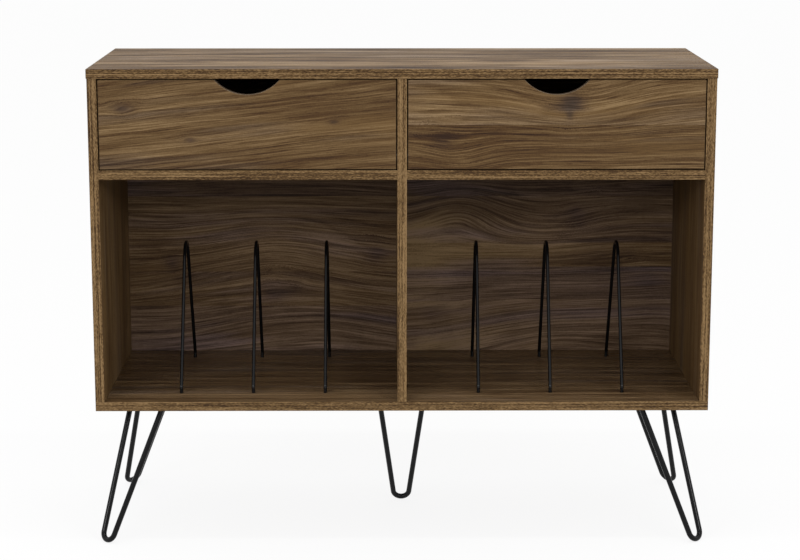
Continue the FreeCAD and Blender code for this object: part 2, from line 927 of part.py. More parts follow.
def rail_body(label, wall, section):
    """A rolled rail: its section carried from the front end to the rear end."""
    body = node(doc.addObject("PartDesign::Body", label))
    outline = sketch_on(body, "section", "XZ_Plane")
    draw_outline(outline, section)
    extrude(body, "Pad", "rolled_length", outline, rail_length, reverse=True)
    place(body, wall, rail_front, box_underside)
    return body


def cross_bore(body, name, spots, diameter, start, sign):
    """Holes through the upright web of a rail, from a plane across the gap into the wall."""
    holes = sketch_on(body, f"{name}_outline", "YZ_Plane", start)
    for y, z in spots:
        draw_circle(holes, y, z, diameter)
    extrude(body, "Pocket", name, holes, size.rail_gauge, reverse=sign > 0)


def rail_screw_stations():
    return [share * rail_length for share in RAIL_SCREW_SHARES]


def cabinet_rail(bay, name, wall, sign):
    """A channel on the cabinet wall: the drawer's roller runs inside it, up to a pressed stop."""
    gauge = size.rail_gauge
    reach = size.channel_width
    top = channel_height
    section = [
        (ZERO, -gauge),
        (reach, -gauge),
        (reach, ZERO),
        (gauge, ZERO),
        (gauge, top),
        (reach, top),
        (reach, top + gauge),
        (ZERO, top + gauge),
    ]
    body = rail_body(f"{bay.side}_bay_rail_{name}", wall, [(sign * u, w) for u, w in section])
    stop_end = rail_length - size.roller_inset - size.slide_travel - roller_radius - size.roller_clearance
    stop_start = stop_end - size.stop_length
    outline = sketch_on(body, "stop_outline", "XY_Plane")
    corners = [(gauge, stop_start), (reach, stop_start), (reach, stop_end), (gauge, stop_end)]
    draw_outline(outline, [(sign * u, y) for u, y in corners])
    extrude(body, "Pad", "travel_stop", outline, size.stop_height)
    pin_hole = size.pin_diameter + 2 * size.pin_clearance
    cross_bore(body, "pin_bore", [(size.roller_inset, roller_height)], pin_hole, ZERO, sign)
    screws = [(y, roller_height) for y in rail_screw_stations()]
    cross_bore(body, "screw_bores", screws, drilled(size.rail_screw_diameter), ZERO, sign)


def drawer_rail(bay, name, wall, sign):
    """An angle under the drawer side, with a flange that rides on the cabinet's roller."""
    gauge = size.rail_gauge
    inner = size.slide_width
    web = inner - gauge
    tip = gauge + size.flange_tip_gap
    lip = inner + size.rail_lip
    section = [
        (tip, flange_height),
        (web, flange_height),
        (web, -gauge),
        (lip, -gauge),
        (lip, ZERO),
        (inner, ZERO),
        (inner, flange_height + gauge),
        (tip, flange_height + gauge),
    ]
    body = rail_body(f"{bay.side}_drawer_rail_{name}", wall, [(sign * u, w) for u, w in section])
    pin_hole = size.pin_diameter + 2 * size.pin_clearance
    pin_spot = (rail_length - size.roller_inset, roller_height)
    cross_bore(body, "pin_bore", [pin_spot], pin_hole, sign * web, sign)
    holes = sketch_on(body, "screw_outline", "XY_Plane")
    for y in rail_screw_stations():
        draw_circle(holes, sign * (inner + size.rail_lip / 2), y, drilled(size.rail_screw_diameter))
    extrude(body, "Pocket", "screw_bores", holes, gauge)


def roller(label, wall, y, sign):
    """A nylon roller on its pin, in the middle of the gap."""
    bore = size.pin_diameter / 2 + size.pin_clearance
    bevel = size.roller_chamfer
    width = size.roller_width
    outline = [
        (bore, ZERO),
        (roller_radius - bevel, ZERO),
        (roller_radius, bevel),
        (roller_radius, width - bevel),
        (roller_radius - bevel, width),
        (bore, width),
    ]
    body = node(turned(label, outline))
    turn = pointing(sign * X_AXIS)
    place(body, wall + sign * size.roller_standoff, y, box_underside + roller_height, turn)


def pin_pattern(label, length):
    """A riveted pin: it starts flush with its rail's web, and its head keeps the roller on."""
    shank = size.pin_diameter / 2
    head = size.pin_head_diameter / 2
    tip = length + size.pin_head_height
    return turned(
        label, [(ZERO, ZERO), (shank, ZERO), (shank, length), (head, length), (head, tip), (ZERO, tip)]
    )


def slides():
    """Four slides: rails, rollers at the cabinet's front and the drawer's rear, pins and screws."""
    front_axle = rail_front + size.roller_inset
    rear_axle = rail_front + rail_length - size.roller_inset
    axle_level = box_underside + roller_height
    cabinet_pins = []
    cabinet_screws = []
    cabinet_reach = size.roller_standoff + size.roller_width + size.pin_play
    cabinet_pattern = pin_pattern("cabinet_pin_pattern", cabinet_reach)
    drawer_reach = size.slide_width - size.roller_standoff + size.pin_play
    drawer_pattern = pin_pattern("drawer_pin_pattern", drawer_reach)
    screw_pattern = headed(
        "rail_screw_pattern",
        size.rail_screw_diameter,
        size.rail_gauge + size.rail_screw_bite,
        size.rail_screw_head_diameter,
        size.rail_screw_head_height,
    )
    for bay in bays:
        drawer_pins = []
        drawer_screws = []
        for name, wall, sign in bay.rails():
            cabinet_rail(bay, name, wall, sign)
            drawer_rail(bay, name, wall, sign)
            roller(f"{bay.side}_bay_roller_{name}", wall, front_axle, sign)
            roller(f"{bay.side}_drawer_roller_{name}", wall, rear_axle, sign)
            inward = pointing(sign * X_AXIS)
            outward = pointing(-sign * X_AXIS)
            cabinet_pins.append((wall, front_axle, axle_level, inward))
            drawer_pins.append((wall + sign * size.slide_width, rear_axle, axle_level, outward))
            lip_middle = wall + sign * (size.slide_width + size.rail_lip / 2)
            for y in rail_screw_stations():
                cabinet_screws.append((wall + sign * size.rail_gauge, rail_front + y, axle_level, outward))
                seat = box_underside - size.rail_gauge
                drawer_screws.append((lip_middle, rail_front + y, seat, pointing(Z_AXIS)))
        copies(f"{bay.side}_drawer_roller_pins", (drawer_pattern, drawer_pins))
        copies(f"{bay.side}_drawer_rail_screws", (screw_pattern, drawer_screws))
    copies("cabinet_roller_pins", (cabinet_pattern, cabinet_pins))
    copies("cabinet_rail_screws", (screw_pattern, cabinet_screws))


# Wire dividers

def divider(label, x):
    """One bent wire: two upright feet in the bottom panel, two sloping legs and a round apex."""
    half_base = size.divider_base / 2
    foot_radius = size.divider_foot_radius
    apex_radius = size.divider_apex_radius
    apex_level = size.divider_height - size.divider_wire / 2 - apex_radius
    run = half_base - foot_radius
    rise = apex_level - size.divider_foot_rise
    slope = math.atan2(run.value, rise.value) + math.asin(
        (foot_radius.value - apex_radius.value) / math.hypot(run.value, rise.value)
    )
    body = node(doc.addObject("PartDesign::Body", label))
    path = sketch_on(body, "wire_path", "YZ_Plane")
    feet = []
    bends = []
    slopes = []
    for sign in (-1, 1):
        foot_u = sign * half_base
        feet.append(draw_line(path, (foot_u, -size.divider_foot_depth), (foot_u, size.divider_foot_rise)))
        pin_point(path, feet[-1], Spot.START, foot_u, -size.divider_foot_depth)
        pin_point(path, feet[-1], Spot.END, foot_u, size.divider_foot_rise)
        turn = (math.pi - slope, math.pi) if sign < 0 else (0, slope)
        bends.append(draw_arc(path, sign * run, size.divider_foot_rise, foot_radius, *turn))
        outward = FreeCAD.Vector(sign * math.cos(slope), math.sin(slope), 0)
        low = flat(sign * run, size.divider_foot_rise) + outward * foot_radius.value
        high = flat(ZERO, apex_level) + outward * apex_radius.value
        slopes.append(path.addGeometry(Part.LineSegment(low, high)))
    apex = draw_arc(path, ZERO, apex_level, apex_radius, slope, math.pi - slope)
    pin_point(path, apex, Spot.CENTRE, ZERO, apex_level)
    join_smoothly(path, feet[0], Spot.END, bends[0], Spot.END)
    join_smoothly(path, bends[0], Spot.START, slopes[0], Spot.START)
    join_smoothly(path, slopes[0], Spot.END, apex, Spot.END)
    join_smoothly(path, apex, Spot.START, slopes[1], Spot.END)
    join_smoothly(path, slopes[1], Spot.START, bends[1], Spot.END)
    join_smoothly(path, bends[1], Spot.START, feet[1], Spot.END)
    section = sketch_on(body, "wire_section", "XY_Plane", -size.divider_foot_depth)
    draw_circle(section, ZERO, -half_base, size.divider_wire)
    wire = body.newObject("PartDesign::AdditivePipe", "bent_wire")
    wire.Profile = section
    wire.Spine = path
    place(body, x, front + size.divider_setback + half_base, cubby_floor)


# Hairpin legs

def leg_stations():
    """Each leg's name, the middle of its plate, and its turn about the upright axis in degrees."""
    across = half_width - size.leg_inset
    near = front + size.leg_setback
    far = rear - size.leg_setback
    return (
        ("leg_front_left", -across, near, -45),
        ("leg_front_right", across, near, 45),
        ("leg_rear_left", -across, far, -135),
        ("leg_rear_right", across, far, 135),
        ("leg_centre", ZERO, front + size.centre_leg_setback, 180),
    )


def plate_screw_spots():
    """Screw holes in a leg's plate, from its middle."""
    along = size.leg_plate_length / 2 - size.leg_screw_inset
    across = size.leg_plate_width / 2 - size.leg_screw_inset
    return [(sign * along, other * across) for sign in (-1, 1) for other in (-1, 1)]


def leg_screw_spots():
    """All the legs' screws, as (x, y) places under the cabinet."""
    spots = []
    for _, middle_x, middle_y, turn in leg_stations():
        cosine = math.cos(math.radians(turn))
        sine = math.sin(math.radians(turn))
        for u, v in plate_screw_spots():
            spots.append((middle_x + u * cosine - v * sine, middle_y + u * sine + v * cosine))
    return spots


def leg(label, x, y, turn):
    """A rod bent into a hairpin that leans towards the piece's own -Y, welded under a plate."""
    drop = size.leg_height - size.leg_rod / 2
    lean = size.leg_lean
    reach = root(drop * drop + lean * lean)
    bend = size.leg_bend_radius
    bend_level = bend - reach
    half_spread = size.leg_spread / 2
    span = math.hypot(half_spread.value, size.leg_rod_trim.value - bend_level.value)
    towards_top = math.atan2(size.leg_rod_trim.value - bend_level.value, half_spread.value)
    bend_end = towards_top - math.acos(bend.value / span)

    body = node(doc.addObject("PartDesign::Body", label))
    path = sketch_on(body, "rod_path", "XZ_Plane")
    tilt = FreeCAD.Rotation(X_AXIS, -math.degrees(math.atan2(lean.value, drop.value)))
    path.AttachmentOffset = FreeCAD.Placement(FreeCAD.Vector(), tilt)
    path.setExpression("AttachmentOffset.Rotation.Angle", f"-atan({lean.text} / {drop.text})")
    foot = draw_arc(path, ZERO, bend_level, bend, -math.pi / 2, bend_end)
    pin_point(path, foot, Spot.CENTRE, ZERO, bend_level)
    path.addConstraint(Sketcher.Constraint("PointOnObject", foot, Spot.START, Own.UPRIGHT_AXIS))
    outward = FreeCAD.Vector(math.cos(bend_end), math.sin(bend_end), 0)
    bend_tip = flat(ZERO, bend_level) + outward * bend.value
    rod = path.addGeometry(Part.LineSegment(bend_tip, flat(half_spread, size.leg_rod_trim)))
    pin_point(path, rod, Spot.END, half_spread, size.leg_rod_trim)
    join_smoothly(path, foot, Spot.END, rod, Spot.START)

    section = sketch_on(body, "rod_section", "YZ_Plane")
    draw_circle(section, -lean, -drop, size.leg_rod)
    half = body.newObject("PartDesign::AdditivePipe", "half_hairpin")
    half.Profile = section
    half.Spine = path
    whole = body.newObject("PartDesign::Mirrored", "hairpin")
    whole.Originals = [half]
    whole.MirrorPlane = (origin_plane(body, "YZ_Plane"), [""])
    body.Tip = whole

    length = size.leg_plate_length / 2
    width = size.leg_plate_width / 2
    trim = sketch_on(body, "trim_outline", "XY_Plane")
    draw_outline(trim, [(-length, -width), (length, -width), (length, width), (-length, width)])
    extrude(body, "Pocket", "rods_trimmed", trim, 2 * size.leg_rod_trim, reverse=True)
    corner = size.leg_plate_corner
    outline = sketch_on(body, "plate_outline", "XY_Plane")
    draw_outline(
        outline,
        [
            (corner - length, -width),
            (length - corner, -width),
            (length, corner - width),
            (length, width - corner),
            (length - corner, width),
            (corner - length, width),
            (-length, width - corner),
            (-length, corner - width),
        ],
    )
    extrude(body, "Pad", "plate", outline, size.leg_plate_thickness, reverse=True)
    holes = sketch_on(body, "screw_outline", "XY_Plane")
    for u, v in plate_screw_spots():
        draw_circle(holes, u, v, drilled(size.leg_screw_diameter))
    extrude(body, "Pocket", "screw_bores", holes, size.leg_plate_thickness)
    place(body, x, y, underside, FreeCAD.Rotation(Z_AXIS, turn))


def leg_screws():
    pattern = headed(
        "leg_screw_pattern",
        size.leg_screw_diameter,
        size.leg_plate_thickness + size.leg_screw_bite,
        size.leg_screw_head_diameter,
        size.leg_screw_head_height,
    )
    seat = underside - size.leg_plate_thickness
    copies("leg_screws", (pattern, [(x, y, seat, pointing(Z_AXIS)) for x, y in leg_screw_spots()]))


def build():
    """All the sub-parts, from the carcass inwards."""
    top_panel()
    bottom_panel()
    uprights()
    for bay in bays:
        shelf(bay)
        back_panel(bay)
        drawer_front(bay)
        drawer_sides(bay)
        drawer_back(bay)
        drawer_bottom(bay)
        drawer_dowels(bay)
        for number, x in enumerate(bay.divider_places(), start=1):
            divider(f"{bay.side}_divider_{number}", x)
    wood_dowels()
    cam_bolts()
    cam_locks()
    carcass_screws()
    back_panel_nails()
    slides()
    for station in leg_stations():
        leg(*station)
    leg_screws()
    doc.recompute()


def check():
    """Stop if an object failed, a sub-part is not sound, or a cut took nothing away."""
    for thing in doc.Objects:
        if "Invalid" in thing.State or "Error" in thing.State:
            raise RuntimeError(f"{thing.Label} failed: {thing.State}")
        if thing.isDerivedFrom("PartDesign::Pocket"):
            if thing.Shape.Volume >= thing.BaseFeature.Shape.Volume:
                raise RuntimeError(f"{thing.Label} cuts nothing")
    for thing in nodes:
        if thing.Shape.isNull() or not thing.Shape.isValid():
            raise RuntimeError(f"{thing.Label} has no sound shape")


def write():
    """One file for each sub-part, named by its label."""
    os.makedirs("parts", exist_ok=True)
    for thing in nodes:
        thing.Shape.exportStep(f"parts/{thing.Label}.step")


build()
check()
write()
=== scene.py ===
"""The looks of a turntable stand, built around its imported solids.

The boards keep their solids and get a printed walnut decor with edge bands. Bent rods, fastener heads
and rollers are new smooth surfaces that stand for their solids. Lengths are in metres, with +X to the
right as seen from the front, +Y to the rear and +Z up from the floor.
"""

import logging
import math
from dataclasses import dataclass, replace
from enum import Enum
from typing import Any, Callable, Mapping, Optional, Sequence, Union

import bmesh
import bpy
import numpy as np
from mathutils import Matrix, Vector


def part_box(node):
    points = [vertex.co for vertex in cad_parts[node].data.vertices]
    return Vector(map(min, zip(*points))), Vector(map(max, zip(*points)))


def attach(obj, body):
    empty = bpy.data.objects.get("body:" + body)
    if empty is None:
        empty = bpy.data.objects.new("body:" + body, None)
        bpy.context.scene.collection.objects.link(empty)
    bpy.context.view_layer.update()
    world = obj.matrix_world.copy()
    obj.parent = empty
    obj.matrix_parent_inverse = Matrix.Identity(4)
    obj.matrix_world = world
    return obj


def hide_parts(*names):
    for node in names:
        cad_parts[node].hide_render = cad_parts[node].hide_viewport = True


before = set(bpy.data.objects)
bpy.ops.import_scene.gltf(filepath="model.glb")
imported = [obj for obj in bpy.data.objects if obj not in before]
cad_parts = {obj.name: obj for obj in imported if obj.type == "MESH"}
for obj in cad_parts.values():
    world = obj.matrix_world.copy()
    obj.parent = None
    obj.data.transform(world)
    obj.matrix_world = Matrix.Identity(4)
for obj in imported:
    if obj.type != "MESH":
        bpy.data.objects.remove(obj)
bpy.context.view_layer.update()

LOG = logging.getLogger("turntable_stand")

Colour = tuple[float, float, float]
Point = tuple[float, float, float]
Seat = tuple[Point, Point]
Stops = tuple[tuple[float, Colour], ...]
Box = tuple[Any, Any]
Number = Union[float, "Value"]

UP: Point = (0.0, 0.0, 1.0)
TO_FRONT: Point = (0.0, -1.0, 0.0)
WHITE: Colour = (1.0, 1.0, 1.0)


# Shader maths

def operator(operation: str, swapped: bool = False) -> Callable[["Value", Number], "Value"]:
    """A method that adds a Math node, for an operator of values.

    Args:
        operation: The node's operation.
        swapped: Whether the other value comes first, as in a reflected form.

    Returns:
        The method.
    """
    def result(self: "Value", other: Number) -> "Value":
        """The node's result for this value and another."""
        return self.tree.math(operation, *((other, self) if swapped else (self, other)))

    return result


class Value:
    """A socket of a node tree, on which arithmetic adds Math nodes."""

    def __init__(self, tree: "NodeTree", socket: Optional[bpy.types.NodeSocket]) -> None:
        """Keep the socket and the tree that it is in."""
        self.tree = tree
        self.socket = socket

    __add__ = __radd__ = operator("ADD")
    __mul__ = __rmul__ = operator("MULTIPLY")
    __sub__, __rsub__ = operator("SUBTRACT"), operator("SUBTRACT", True)
    __truediv__, __rtruediv__ = operator("DIVIDE"), operator("DIVIDE", True)
    __pow__ = operator("POWER")
    __gt__, __lt__ = operator("GREATER_THAN"), operator("LESS_THAN")

    def __neg__(self) -> "Value":
        """This value with its sign turned."""
        return self.tree.math("MULTIPLY", self, -1.0)

    def math(self, operation: str, *others: Number) -> "Value":
        """The result of a Math node whose first input is this value."""
        return self.tree.math(operation, self, *others)

    def rise(self, low: float, high: float) -> "Value":
        """Zero below low, one above high and a smooth rise between them."""
        inputs = {"Value": self, "From Min": low, "From Max": high}
        return self.tree.node("ShaderNodeMapRange", {"interpolation_type": "SMOOTHSTEP"}, inputs)


class NodeTree:
    """The nodes of a material or of the surround."""

    def __init__(self, owner: Union[bpy.types.Material, bpy.types.World]) -> None:
        """Empty the owner's nodes to start from.

        Args:
            owner: The material or the surround.
        """
        owner.use_nodes = True
        self.tree = owner.node_tree
        self.tree.nodes.clear()

    def node(
        self,
        kind: str,
        settings: Optional[Mapping[str, Any]] = None,
        inputs: Optional[Mapping[Union[str, int], Any]] = None,
        output: Union[str, int] = 0,
    ) -> Value:
        """Add any node.

        Args:
            kind: The node's type.
            settings: Its properties, set first; "stops" fills a colour ramp with (place, colour) pairs.
            inputs: A value or a link for each named or numbered socket.
            output: The socket to give back.

        Returns:
            The chosen output.
        """
        made = self.tree.nodes.new(kind)
        for name, setting in (settings or {}).items():
            if name == "stops":
                ramp = made.color_ramp
                while len(ramp.elements) < len(setting):
                    ramp.elements.new(1.0)
                for element, (place, colour) in zip(ramp.elements, setting):
                    element.position = place
                    element.color = (*colour, 1.0)
            else:
                setattr(made, name, setting)
        for key, given in (inputs or {}).items():
            socket = made.inputs[key]
            if isinstance(given, Value):
                self.tree.links.new(given.socket, socket)
            elif socket.type == "RGBA" and len(given) == 3:
                socket.default_value = (*given, 1.0)
            else:
                socket.default_value = given
        return Value(self, made.outputs[output] if made.outputs else None)

    def math(self, operation: str, *inputs: Number) -> Value:
        """Add a Math node with its inputs in order, and give back its result."""
        return self.node("ShaderNodeMath", {"operation": operation}, dict(enumerate(inputs)))

    def seen(self) -> Value:
        """One for a ray from the camera, a mirror or a clear surface, and zero for other light."""
        rays = [self.node("ShaderNodeLightPath", output=f"Is {kind} Ray")
                for kind in ("Camera", "Glossy", "Transmission")]
        return rays[0].math("MAXIMUM", rays[1]).math("MAXIMUM", rays[2])


class FinishTree(NodeTree):
    """The nodes of one material."""

    def __init__(self, name: str) -> None:
        """Start an empty material of that name."""
        self.material = bpy.data.materials.new(name)
        super().__init__(self.material)

    def where(self) -> Value:
        """The object coordinates of the shaded point as one vector, in metres."""
        return self.node("ShaderNodeTexCoord", output="Object")

    def place(self) -> list[Value]:
        """The three object coordinates of the shaded point, in metres."""
        where = self.where()
        return [self.node("ShaderNodeSeparateXYZ", None, {0: where}, axis) for axis in range(3)]

    def vector(self, x: Number, y: Number, z: Number) -> Value:
        """One vector from three values."""
        return self.node("ShaderNodeCombineXYZ", None, {0: x, 1: y, 2: z})

    def noise(self, where: Value, scale: float = 1.0, detail: float = 2.0, roughness: float = 0.5) -> Value:
        """Cloudy noise around zero, about -0.5 to 0.5, at a vector."""
        inputs = {"Vector": where, "Scale": scale, "Detail": detail, "Roughness": roughness}
        return self.node("ShaderNodeTexNoise", {"noise_dimensions": "3D"}, inputs) - 0.5

    def ramp(self, factor: Value, stops: Sequence[tuple[float, Colour]]) -> Value:
        """A colour picked from a ramp of stops."""
        return self.node("ShaderNodeValToRGB", {"stops": stops}, {"Fac": factor})

    def mix(self, factor: Number, first: Any, second: Any) -> Value:
        """A colour between two, at a share of the second."""
        return self.node("ShaderNodeMix", {"data_type": "RGBA"}, {0: factor, 6: first, 7: second}, output=2)

    def bump(self, height: Value, depth: float, strength: float = 0.5) -> Value:
        """A normal bent by a height of up to a depth in metres."""
        return self.node("ShaderNodeBump", None, {"Strength": strength, "Distance": depth, "Height": height})

    def surface(self, inputs: Mapping[str, Any]) -> bpy.types.Material:
        """Close the tree with a surface shader.

        Args:
            inputs: The shader's inputs.

        Returns:
            The finished material.
        """
        shader = self.node("ShaderNodeBsdfPrincipled", None, inputs)
        self.node("ShaderNodeOutputMaterial", None, {"Surface": shader})
        return self.material


# Finishes

class Face(Enum):
    """A face of a board: the axis that it looks along, and which way."""

    LEFT = (0, -1)
    RIGHT = (0, 1)
    FRONT = (1, -1)
    REAR = (1, 1)
    UNDER = (2, -1)
    UPPER = (2, 1)


class Grain(Enum):
    """How a decor lies on a board: the axes along the grain, across its leaves and through it."""

    ALONG_LEVEL = (0, 1, 2)
    ALONG_UPRIGHT = (0, 2, 1)
    UP = (2, 1, 0)
    TO_REAR = (1, 2, 0)


@dataclass(frozen=True)
class Figure:
    """One noise of a print: waves per metre along and across the grain, make-up and share of the tone."""

    along: float
    across: float
    detail: float = 2.0
    roughness: float = 0.5
    share: float = 0.0

    def noise(self, tree: FinishTree, run: Value, lines: Value, depth: Number) -> Value:
        """The noise at a place along and across the grain, and at a depth."""
        where = tree.vector(run * self.along, lines * self.across, depth)
        return tree.noise(where, 1.0, self.detail, self.roughness)


SWAY = Figure(1.4, 5.0)
RIPPLE = Figure(8.0, 40.0)
SPECK = Figure(420.0, 420.0, share=0.22)
YEARS = Figure(0.7, 11.0, 1.0, share=0.14)
BROAD = Figure(1.1, 38.0, 3.0, 0.55, 0.52)
STREAK = Figure(2.6, 230.0, 3.0, 0.6, 0.88)
FIBRE = Figure(11.0, 620.0, 2.0, 0.6, 1.05)
CLOUD = Figure(2.8, 13.0)
GLINT = Figure(2.1, 21.0)
PORE = Figure(60.0, 850.0, 1.0, share=0.16)
BAND_LINES = (
    Figure(2.4, 470.0, 2.0, 0.6, 2.0),
    Figure(40.0, 600.0, 2.0, 0.6, 0.8),
    Figure(220.0, 900.0, 1.0, 0.6, 1.4),
)


@dataclass(frozen=True)
class Knot:
    """A knot in a decor, at a place along and across the grain, with how far lines dip towards it.

    A darkness below zero makes a pale patch of it.
    """

    along: float
    across: float
    radius: float
    darkness: float = 1.0
    dip: float = 0.0
    stretch: float = 2.2
    push: float = 0.85
    dip_length: float = 5.5
    dip_height: float = 3.0

    def bend(self, along: Value, across: Value, ripple: Value, speck: Value) -> tuple[Value, Value]:
        """How the knot moves the lines and shades the tone.

        With d the distance in radii, made ragged by noise, the lines move by -push * away * exp(-d^2),
        and into the dip by dip * exp(-d^2) with a wider d. The shade adds exp(-d^2) and exp(-3 * d^2).

        Args:
            along: The place along the grain.
            across: The place across it.
            ripple: Noise for a ragged outline.
            speck: Noise for a grainy core.

        Returns:
            The move of the lines, and the shade.
        """
        away = across - self.across
        beside = (along - self.along) / self.radius
        reach = (beside / self.stretch) ** 2.0 + (away / self.radius) ** 2.0
        reach = reach * (1.0 + ripple * 4.0 + speck * 0.8).math("MAXIMUM", 0.3)
        pull = (-reach).math("EXPONENT")
        shift = away * pull * -self.push
        if self.dip:
            far = (beside / self.dip_length) ** 2.0 + (away / (self.radius * self.dip_height)) ** 2.0
            shift = shift + (-far).math("EXPONENT") * self.dip
        core = (reach * -3.0).math("EXPONENT") * (1.0 + speck * 1.6)
        return shift, (pull * 0.12 + core * 0.24) * self.darkness


@dataclass(frozen=True)
class Arch:
    """A place where the lines of a decor rise: its middle, its half width and height, and the rise."""

    along: float
    across: float
    width: float
    height: float
    rise: float

    def lift(self, along: Value, across: Value) -> Value:
        """How far the lines rise: rise * exp(-d^2), with d measured in the half width and height."""
        off = ((along - self.along) / self.width) ** 2.0 + ((across - self.across) / self.height) ** 2.0
        return (-off).math("EXPONENT") * self.rise


@dataclass(frozen=True)
class Seam:
    """A joint between two leaves of a decor: its place, and how much lighter and greyer it gets there. A
    seam that darkens the leaf under a shelf paints shade.
    """

    across: float
    lift: float = 0.0
    cool: float = 0.0


@dataclass(frozen=True)
class WalnutDecor:
    """Printed walnut: leaves side by side, each with its years, streaks, fibres, pores and knots."""

    grain: Grain
    seed: float
    seams: tuple[Seam, ...] = ()
    knots: tuple[Knot, ...] = ()
    contrast: float = 1.0
    level: float = 0.53
    greying: float = 0.5
    cool: float = 0.0
    patches: float = 0.32
    sway: float = 0.034
    tilt: float = 0.0
    arches: tuple[Arch, ...] = ()
    stops: Stops = (
        (0.05, (0.030, 0.013, 0.006)),
        (0.32, (0.082, 0.041, 0.014)),
        (0.5, (0.126, 0.073, 0.028)),
        (0.68, (0.176, 0.106, 0.046)),
        (0.95, (0.290, 0.190, 0.090)),
    )
    grey: Colour = (0.092, 0.066, 0.050)
    gold: Colour = (0.205, 0.118, 0.042)
    ripple: float = 0.004
    leaf_shift: float = 9.0
    year_count: float = 14.0

    def grey_stops(self) -> list[tuple[float, Colour]]:
        """The ramp of the grey parts: the grey, as dark or light as each stop's green."""
        middle = self.stops[2][1][1]
        return [(at, tuple(part * colour[1] / middle for part in self.grey)) for at, colour in self.stops]

    def pattern(self, tree: FinishTree, place: Sequence[Value]) -> tuple[Value, Value]:
        """The decor's colour, and its tone for sheen and relief.

        Two noises bend the coordinate across the grain into wandering lines, and arches and knots move
        them. Years are the steps of a slow field along the lines, each darker towards its end, and
        streaks, fibres and pores are noises stretched along them. Specks of noise roughen it all.

        Args:
            tree: The material's tree.
            place: The object coordinates.

        Returns:
            The colour, and a tone from 0, dark, to 1, light.
        """
        along, across, through = (place[axis] for axis in self.grain.value)
        leaf: Number = self.seed
        level: Number = self.level
        cool: Number = self.cool
        for seam in self.seams:
            beyond = across > seam.across
            leaf = leaf + beyond
            level = level + beyond * seam.lift
            cool = cool + beyond * seam.cool
        chance = tree.node("ShaderNodeTexWhiteNoise", {"noise_dimensions": "1D"}, {"W": leaf}, "Color")
        run = along + tree.node("ShaderNodeSeparateXYZ", None, {0: chance}) * self.leaf_shift
        ripple = RIPPLE.noise(tree, run, across, leaf)
        speck = SPECK.noise(tree, along, across, through * SPECK.across)
        lines = across + SWAY.noise(tree, run, across, leaf) * self.sway + ripple * self.ripple
        lines = lines - along * self.tilt
        for arch in self.arches:
            lines = lines - arch.lift(along, across)
        shade: Number = 0.0
        for knot in self.knots:
            shift, dark = knot.bend(along, across, ripple, speck)
            lines = lines + shift
            shade = shade + dark

        step = (YEARS.noise(tree, run, lines, leaf) * self.year_count).math("FRACT")
        year = step * step * (1.0 - step.rise(0.86, 1.0))
        broad = BROAD.noise(tree, run, lines, through * BROAD.across + leaf)
        streak = STREAK.noise(tree, run, lines, through * STREAK.across + leaf)
        fibre = FIBRE.noise(tree, run, lines, through * FIBRE.across)
        pore = PORE.noise(tree, run, lines, through * PORE.across)
        cloud = CLOUD.noise(tree, run, across, leaf)
        glint = GLINT.noise(tree, run, lines, leaf + 7.0)
        grain = broad * BROAD.share + streak * STREAK.share + fibre * FIBRE.share
        grain = grain + cloud * self.patches - year * YEARS.share + speck * SPECK.share
        tone = level + grain * self.contrast - pore.rise(0.08, 0.2) * PORE.share - shade
        colour = tree.mix(glint.rise(0.0, 0.25) * 0.4, tree.ramp(tone, self.stops), self.gold)
        greying = (cloud * 1.5 - broad * 1.3).rise(-0.05, 0.4)
        ashen = tree.ramp(tone + shade * 0.6, self.grey_stops())
        return tree.mix(greying * self.greying + shade * 0.9 + cool, colour, ashen), tone


@dataclass(frozen=True)
class FaceLayer:
    """What covers one face of a board instead of the decor."""

    face: Face

    def cover(self, place: Sequence[Value], box: Box, skin: float) -> Value:
        """One on that face of the board's box, as deep as the skin, and zero elsewhere."""
        axis, way = self.face.value
        return place[axis] < box[0][axis] + skin if way < 0 else place[axis] > box[1][axis] - skin


@dataclass(frozen=True)
class EdgeBand(FaceLayer):
    """A thin band on a board's edge, printed with fine streaks along it."""

    along: int
    lift: float = 0.0
    stops: Stops = (
        (0.15, (0.036, 0.016, 0.005)),
        (0.5, (0.128, 0.072, 0.026)),
        (0.85, (0.285, 0.178, 0.080)),
    )

    def pattern(self, tree: FinishTree, place: Sequence[Value], seed: float) -> Value:
        """The band's print: long lines, dashes and specks from noises stretched along the edge.

        Args:
            tree: The material's tree.
            place: The object coordinates.
            seed: Moves the print along.

        Returns:
            The band's colour.
        """
        tone: Number = 0.5 + self.lift
        for line in BAND_LINES:
            x, y, z = (part * (line.along if axis == self.along else line.across)
                       for axis, part in enumerate(place))
            where = tree.vector(x + seed, y, z)
            tone = tone + tree.noise(where, 1.0, line.detail, line.roughness) * line.share
        return tree.ramp(tone, self.stops)


@dataclass(frozen=True)
class RawBoard(FaceLayer):
    """Bare pressed board on a hidden edge or the back of a thin panel."""

    dark: Colour = (0.105, 0.062, 0.033)
    light: Colour = (0.235, 0.155, 0.088)

    def pattern(self, tree: FinishTree, place: Sequence[Value], seed: float) -> Value:
        """Short matted fibres over a soft cloud, both from noise.

        Args:
            tree: The material's tree.
            place: The object coordinates.
            seed: Moves the noises along.

        Returns:
            The board's colour.
        """
        x, y, z = place
        fibres = tree.noise(tree.vector(x * 420.0 + seed, y * 420.0, z * 160.0), 1.0, 4.0, 0.7)
        cloud = tree.noise(tree.vector(x * 9.0, y * 9.0 + seed, z * 9.0))
        return tree.mix((fibres * 1.3 + cloud * 0.25 + 0.5).rise(0.1, 0.9), self.dark, self.light)


